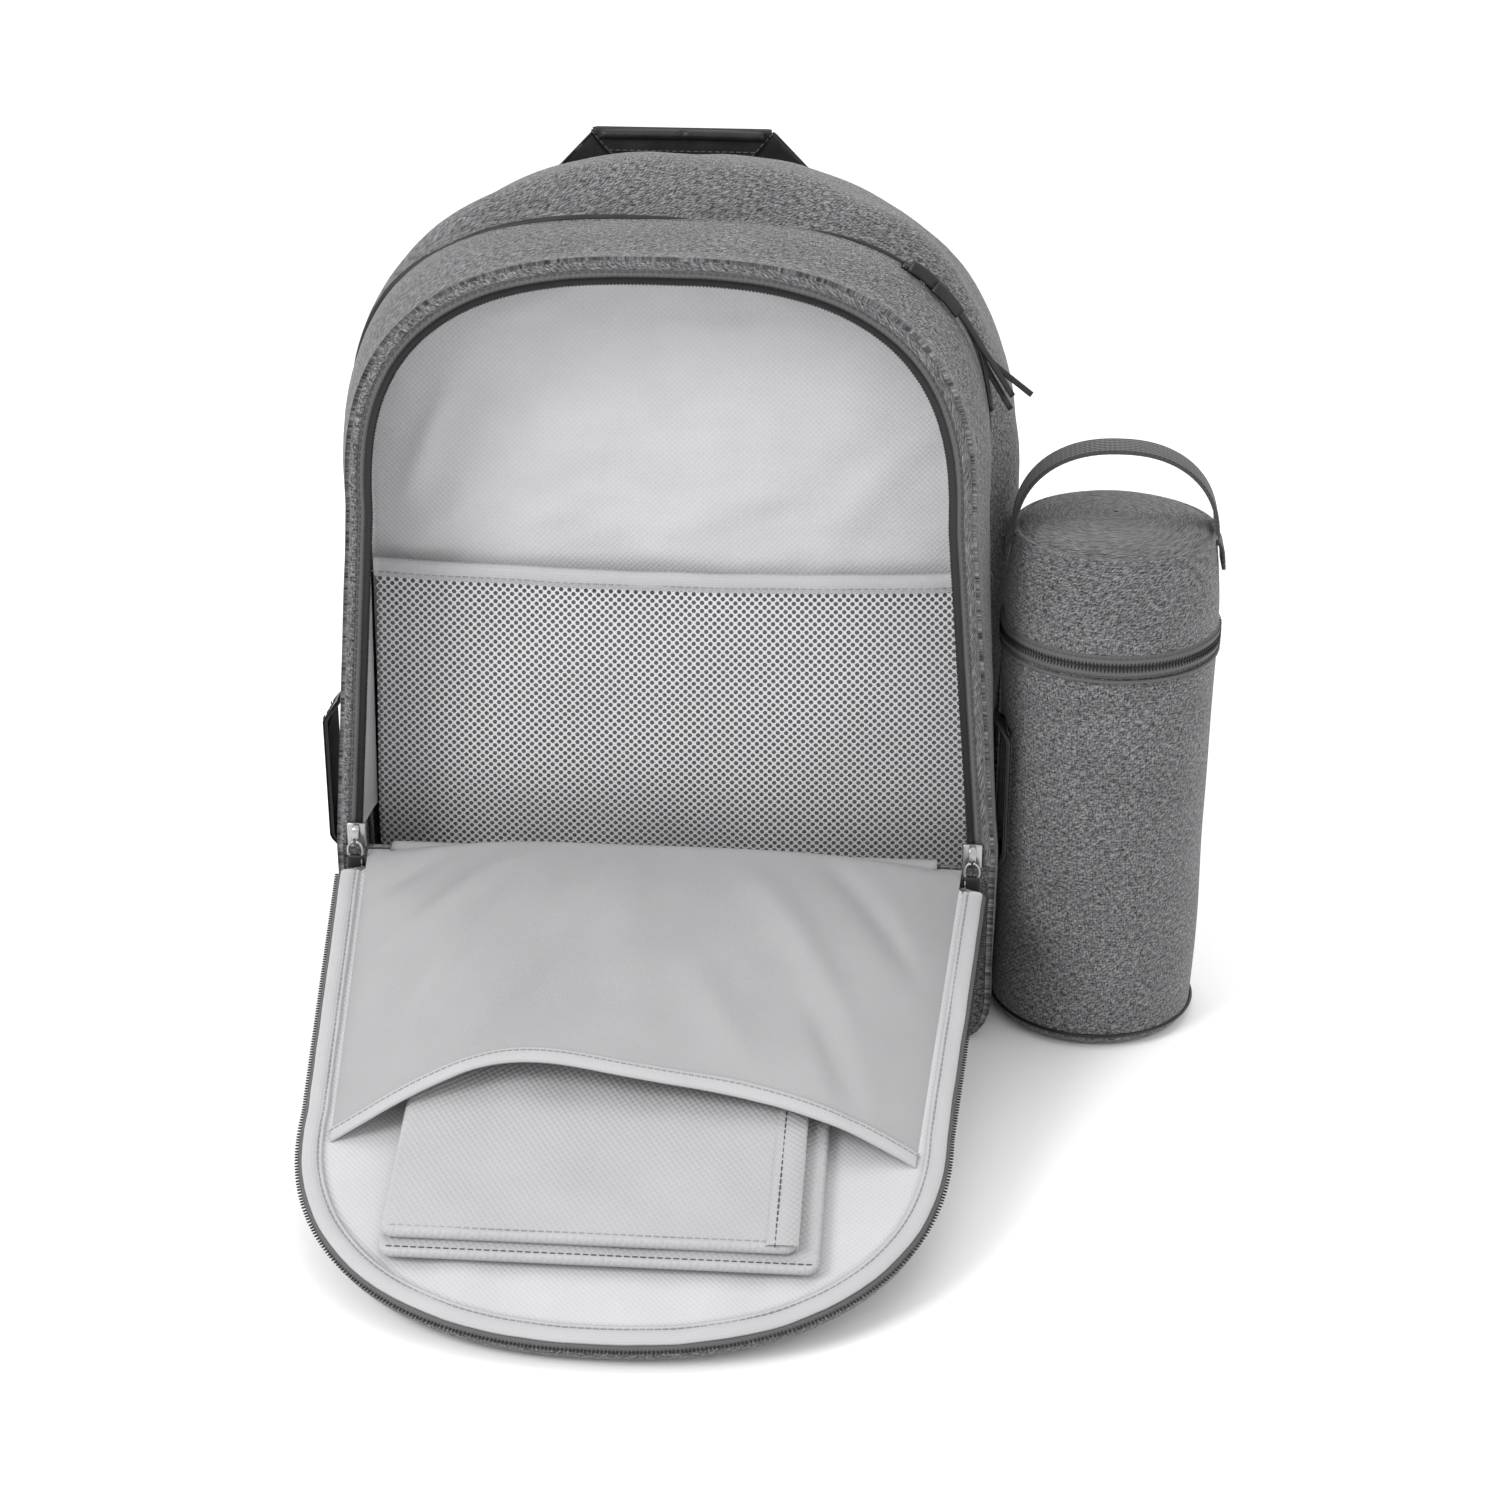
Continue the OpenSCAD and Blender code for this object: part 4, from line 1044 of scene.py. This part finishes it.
def pad_layer(name, x0, x1, u0, u1, v0, v1, mat, seed, replaces, wrinkle=1.0 * MM):
    """One folded layer of the pad: a soft slab whose edges are turned over."""
    r = (v1 - v0) / 2
    corner = 5 * MM
    a = np.radians(np.linspace(0, 90, 6))
    pts = []
    for cx, cu, start in [(x1 - corner, u1 - corner, 0), (x0 + corner, u1 - corner, 90),
            (x0 + corner, u0 + corner, 180), (x1 - corner, u0 + corner, 270)]:
        for b in a:
            pts.append((cx + corner * cos(b + radians(start)), cu + corner * sin(b + radians(start))))
    outline = resample(pts, 240, closed=True)[::-1]
    ring = [(-r * (1 - cos(q)), (v0 + v1) / 2 + r * sin(q)) for q in np.radians([-80, -45, 0, 45, 80])]
    return fill(name, outline, np.array([(x0 + x1) / 2, (u0 + u1) / 2]), lay, ring, mat, "changing_pad",
        rings=26, wrinkle=wrinkle, size=0.03, seed=seed, replaces=replaces)


def changing_pad():
    low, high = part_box("pad_lower_fold")
    u0, u1 = 46 * MM, 239 * MM
    v0, v1 = 0.6 * MM, 9.7 * MM
    mid = (v0 + v1) / 2
    lower = pad_layer("pad_lower_layer", low.x, high.x, u0, u1, v0, mid - 0.1 * MM, "pad_twill", 1.0,
        ["pad_lower_fold"])
    upper = pad_layer("pad_upper_layer", low.x + 0.5 * MM, high.x - 9 * MM, u0, u1 - 6 * MM, mid + 0.1 * MM,
        v1 + 0.6 * MM, "pad_twill", 4.0, ["pad_upper_fold"], 1.4 * MM)
    x = high.x - 14 * MM
    path = np.array([(x, u) for u in np.linspace(u0 + 2 * MM, u1 - 7 * MM, 60)])
    profile = in_mm((7.4, 5.3), (7.9, 7.3), (7.2, 10.4), (6.0, 11.1), (-4.6, 11.2), (-5.6, 9.9))
    ribbon("pad_edge_binding", path, profile[::-1], lay, "pad_twill", "changing_pad", 0.4 * MM,
        replaces=["pad_binding"])
    stitches("pad_binding_stitch", path, lay, 3.6 * MM, 11.2 * MM, "changing_pad", "thread_dark", 3.2 * MM)
    end = np.array([(q, u1 - 9.5 * MM) for q in np.linspace(low.x + 6 * MM, high.x - 22 * MM, 50)])
    stitches("pad_end_stitch", end, lay, 0, 10.3 * MM, "changing_pad", "thread_light", 3.2 * MM)
    low_end = np.array([(q, u1 - 3.0 * MM) for q in np.linspace(low.x + 5 * MM, high.x - 4 * MM, 50)])
    stitches("pad_low_end_stitch", low_end, lay, 0, 5.1 * MM, "changing_pad", "thread_dark", 3.2 * MM)


# ---------------------------------------------------------------- sliders


def bar(name, low, high, bevel, mat, body, replaces=(), slot=None):
    """A box with rounded edges."""
    c = (np.array(low) + np.array(high)) / 2
    h = (np.array(high) - np.array(low)) / 2
    verts = [tuple(c + h * [a, b, d]) for a in (-1, 1) for b in (-1, 1) for d in (-1, 1)]
    faces = [[0, 1, 3, 2], [4, 6, 7, 5], [0, 4, 5, 1], [2, 3, 7, 6], [0, 2, 6, 4], [1, 5, 7, 3]]
    obj = build(name, verts, faces, mat, None, replaces=replaces, slot=slot)
    mod = obj.modifiers.new("round", "BEVEL")
    mod.width = bevel
    mod.segments = 3
    bpy.context.view_layer.objects.active = obj
    bpy.ops.object.select_all(action="DESELECT")
    obj.select_set(True)
    bpy.ops.object.modifier_apply(modifier="round")
    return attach(obj, body)


def front_sliders():
    for side, name in SIDES:
        low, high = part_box(f"zip_slider_{name}")
        body = f"slider_{name}"
        x, y = (low.x + high.x) / 2, (low.y + high.y) / 2
        bar(f"slider_plate_{name}", (low.x, y - 0.4 * MM, low.z), (high.x, high.y, high.z), 0.9 * MM,
            "slider_metal", body, [f"zip_slider_{name}"])
        bail = curve_points([(x, low.y + 2.2 * MM, high.z - 0.8 * MM),
            (x, low.y - 0.2 * MM, high.z - 2.6 * MM), (x, low.y - 0.5 * MM, low.z + 4.5 * MM),
            (x, low.y + 2.2 * MM, low.z + 1.6 * MM)], 16)
        strap(f"slider_bail_{name}", bail, 3.4 * MM, 1.3 * MM, (1, 0, 0), "slider_metal", body, 0.45,
            slot="slider_metal")
        low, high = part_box(f"zip_pull_{name}")
        body = f"pull_{name}"
        y = (low.y + high.y) / 2
        loop = [(x + 3.4 * MM * sin(a), y - 0.4 * MM,
            high.z - 4.2 * MM + 4.6 * MM * cos(a)) for a in np.linspace(0.15, 2 * pi - 0.15, 24)]
        strap(f"pull_loop_{name}", loop, 1.5 * MM, 1.3 * MM, (0, 1, 0), "slider_metal", body, 0.45,
            slot="slider_metal")
        line = curve_points([(x, y - 0.3 * MM, high.z - 6.5 * MM), (x, y - 1.0 * MM, (low.z + high.z) / 2),
            (x, y, low.z + 0.5 * MM)], 16)
        strap(f"pull_leather_{name}", line, [7.4 * MM + 0.8 * MM * sin(pi * i / 15) for i in range(16)],
            2.2 * MM, (1, 0, 0), "black_leather", body, 0.4, replaces=[f"zip_pull_{name}"])
        edge = np.array([(x + side * -2.9 * MM, z) for z in np.linspace(low.z + 3 * MM, high.z - 9 * MM, 12)])
        stitches(f"pull_stitch_{name}", edge, lambda a, b, k: (a, y - k, b), 0, 2.2 * MM, body,
            "thread_light", 2.4 * MM)


def rear_sliders():
    """Two sliders on the right shoulder, each with a pair of leather thongs."""
    for name, bend in (("upper", 1), ("lower", -1)):
        low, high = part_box(f"rear_slider_{name}")
        body = f"rear_{name}"
        pull_low, pull_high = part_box(f"rear_pull_{name}")
        c = (low + high) / 2
        centre = JOINTS[f"rear_{name}_slide"]["pos_m"]
        a = atan2(c.z - centre[2], c.x - centre[0])
        radial, tangent = np.array([cos(a), 0, sin(a)]), np.array([-sin(a), 0, cos(a)])
        mid = np.array(c)
        line = [mid + tangent * s * 5 * MM - radial * 0.6 * MM for s in np.linspace(-1, 1, 9)]
        strap(f"rear_slider_body_{name}", line, 6.6 * MM,
            [2.2 * MM + 1.2 * MM * (1 - abs(s)) for s in np.linspace(-1, 1, 9)], (0, 1, 0), "dark_metal",
            body, 0.4, replaces=[f"rear_slider_{name}"])
        y = (pull_low.y + pull_high.y) / 2
        reach = hypot(c.x - centre[0], c.z - centre[2]) + 1.5 * MM
        spot = lambda angle, out: np.array([centre[0] + (reach + out) * cos(angle), y,
            centre[2] + (reach + out) * sin(angle)])
        start = spot(a, 0)
        for k, spread in enumerate((0, 1)):
            drop = radians(30 + 5 * bend)
            tip = spot(a - drop - radians(8), (14 - 9 * spread + 4 * bend) * MM) - [0, 0,
                (6 + 5 * spread) * MM]
            lean = np.array([0, 0.3 * MM * (2 * spread - 1), 0])
            pts = [start, spot(a - drop * 0.4, 1 * MM), spot(a - drop * 0.8, (1.5 - spread) * MM),
                spot(a - drop, 3 * MM * (1 - spread)), tip]
            pts = curve_points([p + lean for p in pts], 24)
            obj = strap(f"rear_thong_{name}_{k}", pts, 2.6 * MM, 1.5 * MM, (0, 0.3, 1), "black_leather",
                f"rear_{name}_pull", 0.45)
            if k:
                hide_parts(f"rear_pull_{name}")
        knot = curve_points([spot(a + 0.03, 0.5 * MM), spot(a - 0.05, 1 * MM), spot(a - 0.16, 0.8 * MM)], 8)
        strap(f"rear_knot_{name}", knot, 5.5 * MM, 2.2 * MM, (0, 0.3, 1), "black_leather",
            f"rear_{name}_pull", 0.45)


# ---------------------------------------------------------------- the bottle pouch

pouch_low, pouch_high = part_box("pouch_body")
pouch_c = (pouch_low + pouch_high) / 2
pouch_r = (pouch_high.x - pouch_low.x) / 2
foot_r = pouch_r - 1.5 * MM
zip_z = pouch_high.z
lid_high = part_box("pouch_lid")[1].z
lid_zip_low, lid_zip_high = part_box("pouch_zip_upper")


def pouch_point(r, angle, z):
    return (pouch_c.x + r * cos(angle), pouch_c.y + r * sin(angle), z)


def lathe(name, profile, mat, body, amp=0.0, seed=0.0, columns=120, **rest):
    """Cloth turned about the pouch's axis, with soft dents."""
    rows = []
    angles = np.linspace(0, 2 * pi, columns + 1)[:-1]
    for r, z in profile:
        row = []
        for a in angles:
            p = pouch_point(r, a, z)
            row.append(pouch_point(max(0.0005, r + amp * wave(p, 0.05, seed) * min(1, r / 0.03)), a, z))
        rows.append(row)
    return sheet(name, rows, mat, body, closed=True, **rest)


def ring_place(r):
    return lambda s, z, h: pouch_point(r + h, s / r, z)


def ring_path(r, z, count=240):
    return np.stack([np.linspace(0, 2 * pi * r, count), np.full(count, z)], axis=1)


def tape_ring(name, z0, z1, r, body, replaces):
    profile = [(r - 1.5 * MM, z0), (r + 0.4 * MM, z0), (r + 1.1 * MM, z0 + 0.3 * (z1 - z0)),
        (r + 1.1 * MM, z0 + 0.7 * (z1 - z0)), (r + 0.4 * MM, z1), (r - 1.5 * MM, z1)]
    return lathe(name, profile, "zip_tape", body, replaces=replaces)


def pouch():
    side = [(foot_r + (pouch_r - foot_r) * t, zip_z * t) for t in np.linspace(0.035, 1, 46)]
    base = [(0.6 * MM, 0.4 * MM), (foot_r * 0.5, 0.3 * MM), (foot_r - 6 * MM, 0.3 * MM),
        (foot_r - 2.2 * MM, 1.2 * MM), (foot_r - 0.6 * MM, 3.4 * MM)]
    inner = [(r - 3 * MM, z) for r, z in reversed(side)] + [(0.6 * MM, 6 * MM)]
    body = lathe("pouch_cloth", base + side + [(pouch_r - 1.5 * MM, zip_z)], "melange_canvas", "pouch",
        1.3 * MM, 3.0, replaces=["pouch_body", "pouch_base"])
    lathe("pouch_inside", inner, "lining_fabric", "pouch", replaces=["pouch_lining"])
    for z, name in ((6.0 * MM, "foot"), (zip_z - 1.6 * MM, "rim")):
        r = foot_r + (pouch_r - foot_r) * z / zip_z + 0.5 * MM
        loop = [(r + 0.9 * MM * cos(a), z + 0.9 * MM * sin(a)) for a in np.linspace(0, 2 * pi, 9)]
        lathe(f"pouch_{name}_piping", loop, "zip_coil" if name == "foot" else "zip_tape", "pouch",
            slot="zip_coil")
    gap = lid_zip_low.z
    low_z = gap - 5.5 * MM
    tape_ring("pouch_lower_tape", low_z, low_z + 5 * MM, pouch_r, "pouch", ["pouch_zip_lower"])
    tape_ring("lid_lower_tape", gap, lid_zip_high.z, pouch_r, "pouch_top", ["pouch_zip_upper"])
    place = ring_place(pouch_r)
    for name, body, z in (("pouch", "pouch", low_z + 4.0 * MM), ("lid", "pouch_top", gap + 1.0 * MM)):
        teeth(f"{name}_lower_teeth", ring_path(pouch_r, z), place, 0, 0.9 * MM, body, 2.0 * MM, 1.6 * MM)
    high_z = lid_zip_high.z - 0.9 * MM
    for name, body, z in (("pouch", "pouch", low_z + 0.9 * MM), ("lid", "pouch_top", high_z)):
        path = ring_path(pouch_r, z)
        stitches(f"{name}_tape_stitch", path, place, 0, 1.2 * MM, body, "thread_dark", 3.0 * MM)


def lid_profile():
    seam = lid_high - 7 * MM
    base = lid_zip_high.z
    wall = [(pouch_r - 0.2 * MM - 3.2 * MM * t**2, base + (seam - base - 2 * MM) * t) for t in np.linspace(0,
        1, 16)]
    rim_r = wall[-1][0]
    rim = [(rim_r + 0.8 * MM, seam - 1.0 * MM), (rim_r + 0.6 * MM, seam + 0.4 * MM),
        (rim_r - 0.8 * MM, seam + 0.8 * MM), (rim_r - 1.8 * MM, seam - 0.2 * MM)]
    dome = [(max(0.6 * MM, (rim_r - 2.6 * MM) * cos(q)),
        seam + 0.4 * MM + 6.4 * MM * sin(q)) for q in np.radians(np.linspace(6, 90, 14))]
    return wall + rim + dome, seam


def pouch_lid():
    profile, seam = lid_profile()
    outer = lathe("lid_cloth", profile, "melange_canvas", "pouch_top", 1.0 * MM, 6.0, replaces=["pouch_lid"])
    inner = [(pouch_r - 3.2 * MM, lid_zip_low.z + 0.6 * MM), (pouch_r - 3.6 * MM, seam - 14 * MM),
        (pouch_r - 9 * MM, seam - 6 * MM), (0.6 * MM, seam - 1.5 * MM)]
    lathe("lid_inside", inner, "lining_fabric", "pouch_top", replaces=["lid_lining"])
    low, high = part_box("lid_strap")
    half = (high.x - low.x) / 2 - 2.5 * MM
    a = np.radians(np.linspace(0, 180, 41))
    foot = low.z + 1 * MM
    line = [(pouch_c.x + half * np.sign(cos(q)) * abs(cos(q)) ** 0.88, pouch_c.y,
        foot + (high.z - foot - 1 * MM) * sin(q) ** 0.95) for q in a]
    line = [(line[0][0], line[0][1], foot - 1 * MM)] + line + [(line[-1][0], line[-1][1], foot - 1 * MM)]
    strap("lid_strap_band", line, high.y - low.y, 1.9 * MM, (0, 1, 0), "webbing", "pouch_strap", 0.4,
        replaces=["lid_strap"])
    for side, name in SIDES:
        patch = curve_points([(pouch_c.x + side * (half - 0.6 * MM), pouch_c.y, foot - 1 * MM),
            (pouch_c.x + side * (pouch_r - 1.0 * MM), pouch_c.y, foot - 6 * MM),
            (pouch_c.x + side * (pouch_r + 0.2 * MM), pouch_c.y, foot - 15 * MM)], 8)
        strap(f"lid_strap_root_{name}", patch, high.y - low.y, 1.8 * MM, (0, 1, 0), "webbing", "pouch_top",
            0.4, slot="webbing")


def pouch_slider():
    for node, body, mat, name in (
        ("pouch_slider", "pouch_zipper", "slider_metal", "pouch_slider_body"),
        ("pouch_pull", "pouch_zipper_pull", "black_leather", "pouch_pull_leather"),
    ):
        low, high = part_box(node)
        c = np.array((low + high) / 2)
        radial = np.array([c[0] - pouch_c.x, c[1] - pouch_c.y, 0])
        radial /= np.linalg.norm(radial)
        across = np.cross([0, 0, 1], radial)
        line = [np.array([c[0], c[1], z]) for z in np.linspace(low.z + 0.3 * MM, high.z - 0.3 * MM, 9)]
        width, thick = (9.5 * MM, 3.2 * MM) if node == "pouch_slider" else (6 * MM, 2 * MM)
        strap(name, line, width, thick, across, mat, body, 0.45, replaces=[node])


# ---------------------------------------------------------------- build and stage

bag_shell()
back_and_front_panels()
back_pads()
front_zip()
interior()
mesh_pocket()
side_pockets()
handle()
shoulder_straps()
flap_body()
flap_pocket()
root_cloth()
changing_pad()
front_sliders()
rear_sliders()
pouch()
pouch_lid()
pouch_slider()

CAD_LOOKS = {
    "base_board": "board", "floor_lining": "lining_cad", "strap_anchor_left": "canvas_cad",
    "strap_anchor_right": "canvas_cad",
    "ladder_lock_left": "buckle_plastic", "ladder_lock_right": "buckle_plastic",
}
for node, look in CAD_LOOKS.items():
    obj = frame["nodes"][node]
    obj.data.materials.clear()
    obj.data.materials.append(M[look])


def studio():
    g = Graph("floor", 0.9, coords="Object")
    g.colour(g.ramp(g.noise(0.4), [(0.3, 0.96), (0.7, 0.97)]))
    mesh = bpy.data.meshes.new("floor")
    size = 12
    mesh.from_pydata([(-size, -size, 0), (size, -size, 0), (size, size, 0), (-size, size, 0)], [],
        [[0, 1, 2, 3]])
    mesh.materials.append(g.mat)
    floor = bpy.data.objects.new("floor", mesh)
    floor.location.z = -0.0005
    bpy.context.scene.collection.objects.link(floor)
    world = bpy.data.worlds.new("studio")
    bpy.context.scene.world = world
    world.use_nodes = True
    world.node_tree.nodes["Background"].inputs["Color"].default_value = (1, 1, 1, 1)
    world.node_tree.nodes["Background"].inputs["Strength"].default_value = 1.0
    for name, at, size, power in (
        ("key", (-1.2, -1.2, 1.5), 0.8, 23),
        ("top", (0.2, 0.5, 2.0), 1.6, 10),
        ("side", (1.6, -0.9, 1.0), 1.0, 4),
    ):
        light = bpy.data.lights.new(name, "AREA")
        light.size = size
        light.energy = power
        obj = bpy.data.objects.new(name, light)
        obj.location = at
        obj.rotation_euler = (Vector((0, 0, 0.15)) - Vector(at)).to_track_quat("-Z", "Y").to_euler()
        bpy.context.scene.collection.objects.link(obj)
    bpy.context.scene.view_settings.view_transform = "Standard"


EYE = (0.1351, -1.2758, 0.7002)
HEADING = (-0.0788, 0.9969)
PITCH = 24.67
LENS = 71.6


def camera():
    cam = bpy.data.cameras.new("camera")
    cam.sensor_width = 36
    cam.lens = LENS
    obj = bpy.data.objects.new("camera", cam)
    obj.location = EYE
    down = radians(PITCH)
    aim = Vector((HEADING[0] * cos(down), HEADING[1] * cos(down), -sin(down)))
    obj.rotation_euler = aim.to_track_quat("-Z", "Y").to_euler()
    bpy.context.scene.collection.objects.link(obj)
    bpy.context.scene.camera = obj


studio()
camera()
